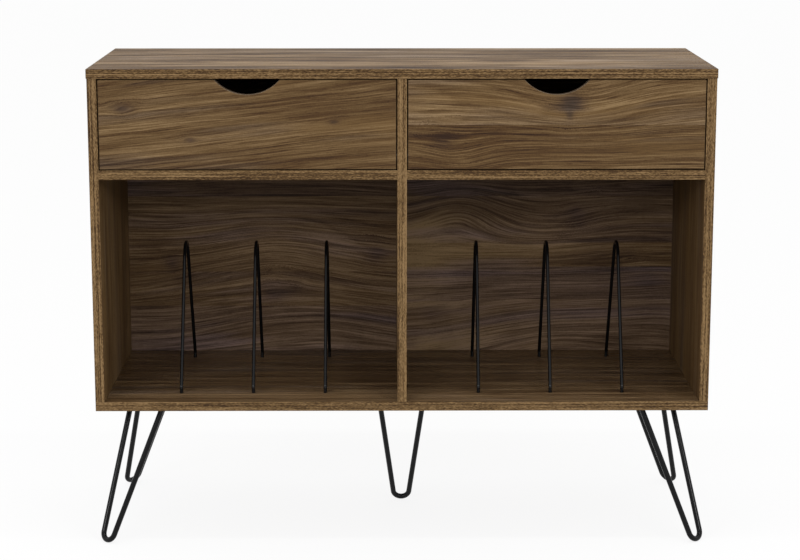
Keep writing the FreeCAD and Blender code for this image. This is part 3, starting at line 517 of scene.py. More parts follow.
@dataclass(frozen=True)
class NotchRim(RawBoard):
    """The sanded cut of a round finger notch in the top of a front."""

    face: Face = Face.UPPER
    dark: Colour = (0.125, 0.088, 0.055)
    light: Colour = (0.25, 0.185, 0.125)
    width: float = 0.109
    depth: float = 0.025

    def cover(self, place: Sequence[Value], box: Box, skin: float) -> Value:
        """Where the notch's circle is, whose radius is (width^2 / 4 + depth^2) / (2 * depth).

        Args:
            place: The object coordinates.
            box: The front's box.
            skin: How far past the circle the cut shows.

        Returns:
            One within the circle, and zero elsewhere.
        """
        radius = (self.width**2 / 4 + self.depth**2) / (2 * self.depth)
        beside = place[0] - (box[0][0] + box[1][0]) / 2
        above = place[2] - (box[1][2] - self.depth + radius)
        return (beside * beside + above * above) < (radius + skin) ** 2


@dataclass(frozen=True)
class BoardFinish:
    """A coated board: the decor on its faces, bands on its edges and bare board where it is cut."""

    decor: WalnutDecor
    bands: tuple[EdgeBand, ...] = ()
    bare: tuple[RawBoard, ...] = ()
    roughness: float = 0.6
    gloss: float = 0.15
    skin: float = 0.0003
    glue: float = 0.0005
    glue_shade: float = 0.55
    relief: float = 0.0003
    sheen: float = 0.12

    def material(self, node: str) -> bpy.types.Material:
        """The finish for one board, fitted to that board's own box.

        Args:
            node: The board's name.

        Returns:
            The new material.
        """
        tree = FinishTree(f"walnut_{node}")
        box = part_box(node)
        place = tree.place()
        colour, tone = self.decor.pattern(tree, place)
        for layer in (*self.bands, *self.bare):
            cover = layer.cover(place, box, self.skin)
            colour = tree.mix(cover, colour, layer.pattern(tree, place, self.decor.seed))
        for band in self.bands:
            axis, way = band.face.value
            line = (place[axis] - box[0 if way < 0 else 1][axis]).math("ABSOLUTE")
            seam = (line < self.glue + self.skin) - (line < self.skin)
            colour = tree.mix(seam * self.glue_shade, colour, self.decor.stops[0][1])
        return tree.surface({
            "Base Color": colour,
            "Roughness": self.roughness + self.sheen * (0.5 - tone),
            "Normal": tree.bump(tone, self.relief, 0.3),
            "Specular IOR Level": self.gloss,
        })


@dataclass(frozen=True)
class PowderCoat:
    """Sprayed and baked paint on steel, with a fine orange-peel skin."""

    name: str
    colour: Colour
    roughness: float
    peel: float
    gloss: float = 0.5

    def material(self) -> bpy.types.Material:
        """The finish: peel from two noises, with a slow change of gloss and colour.

        Returns:
            The new material.
        """
        tree = FinishTree(self.name)
        where = tree.where()
        skin = tree.noise(where, 520.0) + tree.noise(where, 1900.0, 1.0) * 0.4
        slow = tree.noise(where, 38.0)
        lighter = tuple(min(1.0, part * 1.5 + 0.001) for part in self.colour)
        return tree.surface({
            "Base Color": tree.mix((slow + skin * 0.6).rise(-0.25, 0.35), self.colour, lighter),
            "Roughness": self.roughness + slow * 0.14 + skin * 0.08,
            "Normal": tree.bump(skin, self.peel),
            "Specular IOR Level": self.gloss,
        })


@dataclass(frozen=True)
class BareMetal:
    """Plated, cast or blackened metal with a fine tarnish."""

    name: str
    colour: Colour
    roughness: float
    grain: float
    relief: float = 0.00008

    def material(self) -> bpy.types.Material:
        """The finish: crystals from noise change its colour, gloss and relief.

        Returns:
            The new material.
        """
        tree = FinishTree(self.name)
        where = tree.where()
        crystal = tree.noise(where, self.grain, 3.0, 0.6)
        cloud = tree.noise(where, 60.0)
        duller = tuple(part * 0.55 for part in self.colour)
        return tree.surface({
            "Base Color": tree.mix((crystal + cloud).rise(-0.1, 0.55), self.colour, duller),
            "Metallic": 0.95,
            "Roughness": self.roughness + crystal * 0.25 + cloud * 0.1,
            "Normal": tree.bump(crystal, self.relief, 0.4),
        })


@dataclass(frozen=True)
class MouldedNylon:
    """Moulded nylon, slightly clouded, with a satin skin."""

    name: str
    colour: Colour
    roughness: float = 0.42
    relief: float = 0.00004

    def material(self) -> bpy.types.Material:
        """The finish: cloudy tint, satin gloss and a fine mould texture.

        Returns:
            The new material.
        """
        tree = FinishTree(self.name)
        where = tree.where()
        cloud = tree.noise(where, 140.0, 3.0)
        skin = tree.noise(where, 2400.0, 1.0)
        rubbed = tuple(part * 0.78 for part in self.colour)
        return tree.surface({
            "Base Color": tree.mix(cloud.rise(-0.2, 0.4), self.colour, rubbed),
            "Roughness": self.roughness + cloud * 0.15 + skin * 0.08,
            "Normal": tree.bump(skin, self.relief),
            "Subsurface Weight": 0.12,
            "Subsurface Scale": 0.002,
        })


@dataclass(frozen=True)
class BeechPeg:
    """Pale turned beech with short dark flecks."""

    name: str
    pale: Colour
    dark: Colour
    roughness: float = 0.62
    relief: float = 0.0001

    def material(self) -> bpy.types.Material:
        """The finish: flecks and growth bands from noise.

        Returns:
            The new material.
        """
        tree = FinishTree(self.name)
        where = tree.where()
        bands = tree.noise(where, 260.0)
        fleck = tree.noise(where, 900.0, 1.0).rise(0.1, 0.25)
        return tree.surface({
            "Base Color": tree.mix((bands + 0.5) * 0.5 + fleck * 0.5, self.pale, self.dark),
            "Roughness": self.roughness + bands * 0.2,
            "Normal": tree.bump(bands, self.relief),
        })


# Surfaces

@dataclass(frozen=True)
class Shell:
    """A closed surface: its points, and its faces as lists of point numbers."""

    points: np.ndarray
    faces: tuple[np.ndarray, ...]

    def moved(self, turns: np.ndarray, places: np.ndarray) -> "Shell":
        """Copies of the shell, each turned and then placed.

        Args:
            turns: One 3 by 3 turn for each copy.
            places: One point for each copy.

        Returns:
            One shell of all the copies.
        """
        points = np.einsum("cij,pj->cpi", turns, self.points) + places[:, None, :]
        steps = np.arange(len(places))[:, None, None] * len(self.points)
        faces = tuple((block[None] + steps).reshape(-1, block.shape[1]) for block in self.faces)
        return Shell(points.reshape(-1, 3), faces)


def joined(shells: Sequence[Shell]) -> Shell:
    """Put shells together, with the point numbers of each moved past the ones before.

    Args:
        shells: The shells, in order.

    Returns:
        One shell of them all.
    """
    starts = np.cumsum([0] + [len(shell.points) for shell in shells])
    faces = [block + start for shell, start in zip(shells, starts) for block in shell.faces]
    return Shell(np.concatenate([shell.points for shell in shells]), tuple(faces))


def circle(count: int) -> np.ndarray:
    """Evenly spaced angles round a circle."""
    return np.arange(count) * math.tau / count


def round_z(reach: Any, angle: np.ndarray, height: Any) -> np.ndarray:
    """Points round the Z axis: (reach * cos(angle), reach * sin(angle), height)."""
    return np.stack(np.broadcast_arrays(reach * np.cos(angle), reach * np.sin(angle), height), axis=-1)


def arc(centre: tuple[float, float], radius: float, turn: np.ndarray) -> np.ndarray:
    """Points of a flat arc: centre + radius * (cos(turn), sin(turn))."""
    return np.array(centre) + radius * np.stack([np.cos(turn), np.sin(turn)], 1)


def mirrored(half: np.ndarray) -> np.ndarray:
    """A flat path that ends on the upright axis, carried on by its mirror image."""
    return np.concatenate([half, half[-2::-1] * np.array([-1.0, 1.0])])


def ring_quads(rings: np.ndarray, nexts: np.ndarray, sides: int) -> np.ndarray:
    """Quads between rings and the rings next to them.

    Args:
        rings: The numbers of the rings.
        nexts: The number of the ring next to each.
        sides: Points round a ring.

    Returns:
        Four point numbers for each quad.
    """
    here = np.arange(sides)
    after = (here + 1) % sides
    low, high = rings[:, None] * sides, nexts[:, None] * sides
    return np.stack([low + here, low + after, high + after, high + here], axis=-1).reshape(-1, 4)


def ringed(rings: np.ndarray, first: np.ndarray, last: np.ndarray) -> Shell:
    """A closed shell through rings of points, from a first point to a last point.

    Args:
        rings: Points by ring and by place round the ring.
        first: The point that closes the first ring.
        last: The point that closes the last ring.

    Returns:
        The shell: quads between neighbouring rings, and a fan of triangles at each end.
    """
    count, sides = rings.shape[:2]
    points = np.concatenate([rings.reshape(-1, 3), first[None], last[None]])
    here = np.arange(sides)
    after = (here + 1) % sides
    near = np.stack([after, here, np.full(sides, count * sides)], axis=-1)
    top = (count - 1) * sides
    far = np.stack([top + here, top + after, np.full(sides, count * sides + 1)], axis=-1)
    return Shell(points, (ring_quads(np.arange(count - 1), np.arange(1, count), sides), near, far))


def tube(path: np.ndarray, flat: np.ndarray, radius: float, sides: int) -> Shell:
    """A round rod along a path that lies in a plane.

    With t the path's direction, n the plane's normal and b = t x n, a ring's points are
    point + radius * (cos(angle) * n + sin(angle) * b).

    Args:
        path: Points of the rod's centre line.
        flat: Unit normal of the plane.
        radius: Half the rod's thickness.
        sides: Points round a ring.

    Returns:
        The rod with flat ends.
    """
    ahead = np.gradient(path, axis=0)
    ahead /= np.linalg.norm(ahead, axis=1, keepdims=True)
    side = np.cross(ahead, flat)
    angle = circle(sides)[None, :, None]
    offset = np.cos(angle) * flat + np.sin(angle) * side[:, None, :]
    return ringed(path[:, None, :] + radius * offset, path[0], path[-1])


def turned(profile: np.ndarray, sides: int) -> Shell:
    """A turned piece about the Z axis: a profile of (radius, height) points carried round it."""
    rings = round_z(profile[:, :1], circle(sides), profile[:, 1:])
    return ringed(rings, np.array([0.0, 0.0, profile[0, 1]]), np.array([0.0, 0.0, profile[-1, 1]]))


def upright_turns(directions: Sequence[Point]) -> np.ndarray:
    """Turns that point a piece's own Z axis along directions.

    Args:
        directions: The unit directions.

    Returns:
        One 3 by 3 turn for each.
    """
    ahead = np.array(directions, float)
    helper = np.where(np.abs(ahead[:, 2:3]) > 0.5, [[1.0, 0.0, 0.0]], [UP])
    across = np.cross(helper, ahead)
    across /= np.linalg.norm(across, axis=1, keepdims=True)
    return np.stack([across, np.cross(ahead, across), ahead], axis=-1)


def shown(name: str, data: Any) -> bpy.types.Object:
    """Put a mesh, a lamp or a camera into the scene as a new object.

    Args:
        name: The object's name.
        data: What it shows.

    Returns:
        The object.
    """
    made = bpy.data.objects.new(name, data)
    bpy.context.scene.collection.objects.link(made)
    return made


def piece(name: str, shell: Shell, body: str, slot: str, nodes: Sequence[str],
          material: bpy.types.Material, crease: float = 35.0) -> None:
    """Make a shell a piece that stands for solids and rides on their body.

    Args:
        name: The piece's name.
        shell: Its surface, in place.
        body: The body that it rides on.
        slot: The record's material slot; not used.
        nodes: The solids that it stands for.
        material: Its finish.
        crease: Edges sharper than this many degrees stay sharp.
    """
    mesh = bpy.data.meshes.new(name)
    mesh.from_pydata(shell.points, [], [face for block in shell.faces for face in block.tolist()])
    solid = bmesh.new()
    solid.from_mesh(mesh)
    bmesh.ops.recalc_face_normals(solid, faces=solid.faces)
    solid.to_mesh(mesh)
    solid.free()
    mesh.polygons.foreach_set("use_smooth", np.ones(len(mesh.polygons), bool))
    mesh.set_sharp_from_angle(angle=math.radians(crease))
    mesh.materials.append(material)
    made = shown(name, mesh)
    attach(made, body)
    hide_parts(*nodes)
    LOG.info("piece %s on %s, %d faces", name, body, len(mesh.polygons))


def dress(node: str, material: bpy.types.Material) -> None:
    """Give a solid that stays in view a better finish.

    Args:
        node: The solid's name.
        material: Its finish.
    """
    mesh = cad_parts[node].data
    mesh.materials.clear()
    mesh.materials.append(material)
    LOG.info("finish %s on %s", material.name, node)


# Sub-assemblies

class Side(Enum):
    """Half of the stand, as seen from the front."""

    LEFT = "left"
    RIGHT = "right"


@dataclass(frozen=True)
class Carcass:
    """The boards of the cabinet, and its backs."""

    # Partly painted light: the top's print level is raised for the light from above.
    top_level_with_painted_light: float = 0.6
    top_contrast: float = 2.6
    # Painted light: the bay floor's print level is raised for the light inside the bays.
    floor_level_with_painted_light: float = 0.58
    floor_contrast: float = 1.8
    floor_roughness: float = 0.28
    # Painted light: the backs' print level is raised for the light inside the bays.
    back_level_with_painted_light: float = 0.67
    back_contrast: float = 1.3
    back_grey: Colour = (0.102, 0.068, 0.060)

    def level_finish(self, seed: float, *seams: Seam, ends: bool = False, lift: float = 0.03) -> BoardFinish:
        """The finish of a level board: a band in front, and on both ends where they show.

        Args:
            seed: Picks the print.
            seams: The joints between its leaves.
            ends: Whether the ends show.
            lift: How much lighter the front band is.

        Returns:
            The finish.
        """
        bands = [EdgeBand(Face.FRONT, 0, lift)]
        if ends:
            bands += [EdgeBand(Face.LEFT, 1), EdgeBand(Face.RIGHT, 1)]
        decor = WalnutDecor(Grain.ALONG_LEVEL, seed, seams)
        return BoardFinish(decor, tuple(bands), (RawBoard(Face.REAR),))

    def upright_finish(self, seed: float, *seams: Seam, lift: float = 0.05,
                       level: float = 0.53) -> BoardFinish:
        """The finish of an upright: grain and band run up it."""
        decor = WalnutDecor(Grain.UP, seed, seams, level=level)
        return BoardFinish(decor, (EdgeBand(Face.FRONT, 2, lift),), (RawBoard(Face.REAR),))

    def boards(self) -> dict[str, BoardFinish]:
        """The finishes of the level boards and the uprights.

        Returns:
            One finish for each board's name.
        """
        top = self.level_finish(11.0, Seam(-0.102, 0.05), Seam(0.061, -0.04), ends=True, lift=0.0)
        # The top's raised level is partly painted light from above.
        figured = replace(
            top.decor, level=self.top_level_with_painted_light, contrast=self.top_contrast, greying=0.4, patches=0.75
        )
        bottom = self.level_finish(23.0, Seam(-0.085, -0.04), Seam(0.07, 0.03), ends=True)
        # The floor's raised level is painted light inside the bays.
        shaded = replace(bottom.decor, level=self.floor_level_with_painted_light, cool=0.2, contrast=self.floor_contrast)
        return {
            "top_panel": BoardFinish(figured, (*top.bands, EdgeBand(Face.REAR, 0))),
            "bottom_panel": replace(bottom, decor=shaded, roughness=self.floor_roughness),
            "shelf_left": self.level_finish(31.0, Seam(0.03, 0.04)),
            "shelf_right": self.level_finish(37.0, Seam(-0.05, -0.03)),
            # The left side's raised print level, 0.58 against 0.53, is painted light on the bay wall.
            "side_panel_left": self.upright_finish(43.0, Seam(-0.07, 0.05), Seam(0.08, -0.06), level=0.58),
            "side_panel_right": self.upright_finish(53.0, Seam(-0.1, -0.04), Seam(0.05, 0.05)),
            "centre_partition": self.upright_finish(61.0, Seam(0.02, 0.04), lift=0.12),
        }

    def backs(self) -> dict[str, BoardFinish]:
        """The finishes of the two backs: a greyer decor in front and bare board behind. The decor's raised
        level is painted light, and its darker top leaf under the shelf is painted shade.

        Returns:
            One finish for each back's name.
        """
        # The backs' raised level is painted light inside the bays.
        back = WalnutDecor(
            Grain.ALONG_UPRIGHT, 71.0, contrast=self.back_contrast, level=self.back_level_with_painted_light, cool=0.4,
            patches=0.45, sway=0.05, grey=self.back_grey,
        )
        decors = {
            "back_panel_left": replace(
                back,
                # The seam at 0.55 is a leaf joint whose darker, greyer leaf above it, under the shelf, is
                # painted shade.
                seams=(Seam(0.341, -0.02, -0.25), Seam(0.4066, 0.03), Seam(0.55, -0.12, 0.25)),
                knots=(
                    Knot(-0.428, 0.422, 0.020, 0.9, stretch=1.0, push=0.3),
                    Knot(-0.240, 0.364, 0.024, 0.9, stretch=1.6, push=0.3),
                    Knot(-0.044, 0.441, 0.022, 0.9, stretch=1.2, push=0.3),
                ),
                arches=(
                    Arch(-0.228, 0.450, 0.13, 0.07, 0.042),
                    Arch(-0.360, 0.385, 0.12, 0.05, 0.014),
                    Arch(-0.170, 0.300, 0.19, 0.09, 0.035),
                ),
            ),
            "back_panel_right": replace(
                back,
                seed=83.0,
                # The seam at 0.55 is a leaf joint whose darker, greyer leaf above it, under the shelf, is
                # painted shade.
                seams=(
                    Seam(0.353, -0.05, 0.1), Seam(0.4155, 0.07, -0.45),
                    Seam(0.461, -0.04, 0.2), Seam(0.55, -0.1, 0.15),
                ),
                knots=(
                    Knot(0.331, 0.518, 0.022, 0.8, stretch=1.6, push=0.3),
                    Knot(0.462, 0.391, 0.030, 0.6, stretch=1.5, push=0.2),
                    Knot(0.060, 0.326, 0.022, 0.6, stretch=1.6, push=0.2),
                    # Three broad patches that move no lines: paler towards the back's left and darker
                    # towards its right.
                    Knot(0.030, 0.430, 0.100, -1.0, stretch=1.0, push=0.0),
                    Knot(0.110, 0.285, 0.050, -0.8, stretch=2.5, push=0.0),
                    Knot(0.370, 0.440, 0.100, 0.3, stretch=1.2, push=0.0),
                ),
                arches=(
                    Arch(0.112, 0.525, 0.07, 0.05, 0.03),
                    Arch(0.270, 0.500, 0.10, 0.05, -0.02),
                    Arch(0.300, 0.290, 0.20, 0.08, 0.05),
                    Arch(0.520, 0.320, 0.12, 0.08, 0.04),
                ),
            ),
        }
        return {node: BoardFinish(decor, (), (RawBoard(Face.REAR),)) for node, decor in decors.items()}

    def dress(self) -> None:
        """Dress the level boards, the uprights and the backs."""
        for node, finish in {**self.boards(), **self.backs()}.items():
            dress(node, finish.material(node))


@dataclass(frozen=True)
class Drawer:
    """One drawer: its front, with the decor given, and the box behind it."""

    side: Side
    decor: WalnutDecor

    def dress(self) -> None:
        """Dress the front with bands all round, and the box with plain foil."""
        name = f"{self.side.value}_drawer"
        edges = ((Face.UPPER, 0), (Face.UNDER, 0), (Face.LEFT, 2), (Face.RIGHT, 2))
        bands = tuple(EdgeBand(face, along) for face, along in edges)
        dress(f"{name}_front", BoardFinish(self.decor, bands, (NotchRim(),)).material(f"{name}_front"))
        for part, grain in (
            ("side_left", Grain.TO_REAR),
            ("side_right", Grain.TO_REAR),
            ("back", Grain.ALONG_UPRIGHT),
            ("bottom", Grain.ALONG_LEVEL),
        ):
            foil = BoardFinish(WalnutDecor(grain, self.decor.seed + len(part)))
            dress(f"{name}_{part}", foil.material(f"{name}_{part}"))


@dataclass(frozen=True)
class WireDivider:
    """A bent wire that keeps record sleeves upright, with its points along foot, bend, slope and apex."""

    wire: float = 0.006
    height: float = 0.245
    base: float = 0.272
    middle: float = 0.0025
    floor: float = 0.255
    apex_radius: float = 0.036
    foot_radius: float = 0.012
    foot_rise: float = 0.008
    foot_depth: float = 0.010
    points: tuple[int, int, int, int] = (6, 10, 14, 22)
    sides: int = 24
    crease: float = 60.0
    coat: PowderCoat = PowderCoat("black_wire_coat", (0.003, 0.003, 0.0034), 0.16, 0.00001, 0.24)

    def path(self, x: float) -> np.ndarray:
        """The wire's centre line: foot, bend, slope, apex and back down.

        A half is a straight foot, an arc that leaves it, a straight slope that touches both arcs and
        half of the apex arc; the other half mirrors it.

        Args:
            x: Where the wire's plane is.

        Returns:
            The points of the line.
        """
        run = self.base / 2 - self.foot_radius
        level = self.height - self.wire / 2 - self.apex_radius
        rise = level - self.foot_rise
        slope = math.atan2(run, rise)
        slope += math.asin((self.foot_radius - self.apex_radius) / math.hypot(run, rise))
        feet, bends, slopes, tops = self.points
        foot = np.linspace((self.base / 2, -self.foot_depth), (self.base / 2, self.foot_rise), feet)
        low = arc((run, self.foot_rise), self.foot_radius, np.linspace(0.0, slope, bends)[1:])
        high = arc((0.0, level), self.apex_radius, np.linspace(slope, math.pi / 2, tops))
        straight = np.linspace(low[-1], high[0], slopes)[1:-1]
        whole = mirrored(np.concatenate([foot, low, straight, high]))
        return np.insert(whole + np.array([self.middle, self.floor]), 0, x, axis=1)

    def build(self) -> None:
        """Make the six wires, each in the place of its solid."""
        coat = self.coat.material()
        for node in (f"{side.value}_divider_{number}" for side in Side for number in (1, 2, 3)):
            low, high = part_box(node)
            path = self.path((low.x + high.x) / 2)
            wire = tube(path, np.array([1.0, 0.0, 0.0]), self.wire / 2, self.sides)
            piece(f"{node}_wire", wire, "cabinet", "black_steel", [node], coat, self.crease)


@dataclass(frozen=True)
class HairpinLeg:
    """A bent rod welded under a plate, whose straights are the spread apart at the aim above its seat."""

    height: float = 0.239
    rod: float = 0.0095
    lean: float = 0.098
    spread: float = 0.088
    aim: float = 0.008
    bend_radius: float = 0.0145
    plate_length: float = 0.124
    plate_width: float = 0.050
    plate_thickness: float = 0.004
    plate_corner: float = 0.010
    plate_ease: float = 0.0006
    bead: float = 0.0042
    bead_lift: float = 0.0002
    sides: int = 28
    crease: float = 40.0
    coat: PowderCoat = PowderCoat("black_leg_coat", (0.0022, 0.0022, 0.0026), 0.17, 0.00001, 0.17)

    def path(self) -> np.ndarray:
        """The rod's centre line in the leg's own frame, from one top end round the foot to the other.

        It lies in a plane that leans towards -Y. In it, a straight from the top touches an arc round
        the foot, and the other half mirrors it.

        Returns:
            The points of the line.
        """
        drop = self.height - self.rod / 2
        reach = math.hypot(drop, self.lean)
        level = self.bend_radius - reach
        top = -self.plate_thickness * reach / drop
        half = self.spread / 2
        rise = self.aim - level
        end = math.atan2(rise, half) - math.acos(self.bend_radius / math.hypot(half, rise))
        foot = arc((0.0, level), self.bend_radius, np.linspace(end, -math.pi / 2, 22))
        ray = np.array([half, self.aim]) - foot[0]
        start = foot[0] + ray * (top - foot[0, 1]) / ray[1]
        whole = mirrored(np.concatenate([np.linspace(start, foot[0], 16)[:-1], foot]))
        return whole[:, [0, 1, 1]] * np.array([1.0, self.lean / reach, drop / reach])

    @staticmethod
    def stations() -> dict[str, tuple[float, float, float]]:
        """Each leg's X, Y and turn in degrees, by the name of its solid."""
        return {
            "leg_front_left": (-0.444, -0.1145, -45.0),
            "leg_front_right": (0.444, -0.1145, 45.0),
            "leg_rear_left": (-0.444, 0.1115, -135.0),
            "leg_rear_right": (0.444, 0.1115, 135.0),
            "leg_centre": (0.0, -0.0275, 180.0),
        }

    def plane(self) -> np.ndarray:
        """The unit normal of the rod's plane."""
        drop = self.height - self.rod / 2
        return np.array([0.0, drop, -self.lean]) / math.hypot(drop, self.lean)

    def plate(self) -> Shell:
        """The plate: its eight-cornered outline at four levels, drawn in at the rims.

        Returns:
            The plate under its seat.
        """
        length, width, cut = self.plate_length / 2, self.plate_width / 2, self.plate_corner
        corner = np.array([(length, width - cut), (length - cut, width)])
        half = np.concatenate([corner, corner[::-1] * np.array([-1.0, 1.0])])
        outline = np.concatenate([half, -half])
        ease, thickness = self.plate_ease, self.plate_thickness
        levels = np.array([0.0, -ease, ease - thickness, -thickness])[:, None, None]
        shrink = 1.0 - np.array([ease, 0.0, 0.0, ease])[:, None] / np.array([length, width])
        flat = outline * shrink[:, None, :]
        rings = np.concatenate([flat, np.broadcast_to(levels, (*flat.shape[:2], 1))], axis=-1)
        return ringed(rings, np.zeros(3), np.array([0.0, 0.0, -thickness]))

    def weld(self, end: np.ndarray) -> Shell:
        """A weld bead round a rod's top: a quarter round that ripples in eleven waves and in four.

        Args:
            end: The rod's top.

        Returns:
            The bead.
        """
        angle = circle(40)
        lift = np.linspace(0.0, math.pi / 2, 7)[:, None]
        swell = self.bead * (1.0 + 0.10 * np.sin(angle * 11.0) + 0.07 * np.sin(angle * 4.0 + 1.0))
        reach = self.rod / 2 * 0.96 + swell * np.cos(lift)
        drop = -swell * np.sin(lift) * 0.9
        slant = self.lean / (self.height - self.rod / 2)
        rings = end + round_z(reach, angle, drop + self.bead_lift) * np.array([1.0, 1.05, 1.0])
        rings[..., 1] += drop * slant
        return ringed(rings, end, rings[-1].mean(axis=0))

    def build(self) -> None:
        """Make the five legs, each at its plate and turned as its solid is."""
        coat = self.coat.material()
        path = self.path()
        rod = tube(path, self.plane(), self.rod / 2, self.sides)
        leg = joined([rod, self.plate(), self.weld(path[0]), self.weld(path[-1])])
        for node, (x, y, degrees) in self.stations().items():
            cosine = math.cos(math.radians(degrees))
            sine = math.sin(math.radians(degrees))
            turn = np.array([[[cosine, -sine, 0.0], [sine, cosine, 0.0], UP]])
            placed = leg.moved(turn, np.array([[x, y, self.height]]))
            piece(f"{node}_hairpin", placed, "cabinet", "black_steel", [node], coat, self.crease)


class Drive(Enum):
    """The recess in the head of a fastener."""

    NONE = "none"
    CROSS = "cross"
    SOCKET = "socket"


@dataclass(frozen=True)
class Fastener:
    """A screw or nail: its seat is at its own origin, its shank runs along +Z and its head along -Z."""

    head: float
    head_height: float
    shank: float
    length: float
    drive: Drive
    pitch: float = 0.0
    dome: float = 0.55
    core: float = 0.72
    drive_depth: float = 0.75
    drive_wall: float = 0.02
    slot_half: float = 0.055
    slot_reach: float = 0.24
    socket_half: float = 0.22

    def recess(self, x: np.ndarray, y: np.ndarray) -> np.ndarray:
        """How deep the drive is at points of the head.

        A cross is the larger of two slots whose depth falls towards their ends. A socket is the inside
        of three pairs of parallel lines. Their sizes are shares of the head's.

        Args:
            x: The points' places across the head.
            y: Their places up the head.

        Returns:
            The depths, from 0 to 1.
        """
        wall = self.drive_wall * self.head
        if self.drive is Drive.CROSS:
            slots = []
            for beside, along in ((np.abs(x), np.abs(y)), (np.abs(y), np.abs(x))):
                width = np.clip((self.slot_half * self.head - beside) / wall, 0.0, 1.0)
                slots.append(width * np.clip(1.25 - along / (self.slot_reach * self.head), 0.0, 1.0))
            return np.maximum(slots[0], slots[1])
        if self.drive is Drive.SOCKET:
            turns = np.arange(3) * math.pi / 3
            reach = np.abs(x[..., None] * np.cos(turns) + y[..., None] * np.sin(turns)).max(axis=-1)
            return np.clip((self.socket_half * self.head - reach) / wall, 0.0, 1.0)
        return np.zeros_like(x)

    def cap(self) -> Shell:
        """The head: a rim and a dome whose height is h * (1 - dome * (r / R)^2), less the drive.

        Returns:
            The head.
        """
        share = np.concatenate([[0.97, 1.0, 1.0], np.linspace(0.97, 0.03, 15)])[:, None]
        rim = np.array([[0.0], [0.06], [0.85 * (1.0 - self.dome)]])
        level = np.concatenate([rim, 1.0 - self.dome * share[3:] ** 2])
        rings = round_z(self.head / 2 * share, circle(56), -level * self.head_height)
        rings[..., 2] += self.recess(rings[..., 0], rings[..., 1]) * self.drive_depth * self.head_height
        return ringed(rings, np.zeros(3), rings[-1].mean(axis=0))

    def stem(self) -> Shell:
        """The shank: its thread is a wave round it that climbs one pitch a turn, cut to a point.

        Returns:
            The shank.
        """
        turns = 5.0 * self.length / self.pitch if self.pitch else 6.0
        height = np.linspace(0.0, self.length, int(turns) + 2)[:, None]
        angle = circle(14)
        bulk: Any = np.ones(len(angle))
        if self.pitch:
            wave = np.cos(math.tau * height / self.pitch - angle)
            bulk = self.core + (1.0 - self.core) * np.clip(wave, 0.0, 1.0) ** 2 * (height > self.pitch)
        taper = np.clip((self.length - height) / self.shank, 0.06, 1.0)
        rings = round_z(self.shank / 2 * taper * bulk, angle, height)
        return ringed(rings, np.zeros(3), np.array([0.0, 0.0, self.length]))

    def shell(self) -> Shell:
        """The head and the shank together."""
        return joined([self.cap(), self.stem()])


@dataclass(frozen=True)
class CamLock:
    """A cast cam: a face with a cross recess over a hooked wall that is open towards its own -Y."""

    radius: float = 0.0075
    proud: float = 0.0003
    face: float = 0.0041
    depth: float = 0.0125
    wall: float = 0.0022
    mouth: float = 52.0

    def shell(self) -> Shell:
        """The cam with its face along +Z: a recessed disc, and a box profile carried round an arc.

        Returns:
            The cam.
        """
        head = Fastener(2 * self.radius, self.face + self.proud, 0.0, 0.0, Drive.CROSS, dome=0.05).cap()
        disc = Shell(head.points * np.array([1.0, -1.0, -1.0]) - np.array([0.0, 0.0, self.face]), head.faces)
        turn = np.radians(np.linspace(self.mouth - 90.0, 270.0 - self.mouth, 40))[:, None]
        inner = self.radius - self.wall
        reach = np.array([self.radius, self.radius, inner, inner])
        rings = round_z(reach, turn, np.array([-self.depth, -self.face, -self.face, -self.depth]))
        return joined([disc, ringed(rings, rings[0].mean(axis=0), rings[-1].mean(axis=0))])


def fastened(name: str, shell: Shell, seats: Sequence[Seat], body: str, slot: str,
             material: bpy.types.Material) -> None:
    """Make one piece of the fasteners of a solid.

    Args:
        name: The solid's name.
        shell: One fastener.
        seats: Where each sits, and the direction that it is driven in.
        body: The body that they ride on.
        slot: The record's material slot, passed on to piece; not used.
        material: Their finish.
    """
    turns = upright_turns([drive for _, drive in seats])
    placed = shell.moved(turns, np.array([seat for seat, _ in seats]))
    piece(f"{name}_set", placed, body, slot, [name], material)


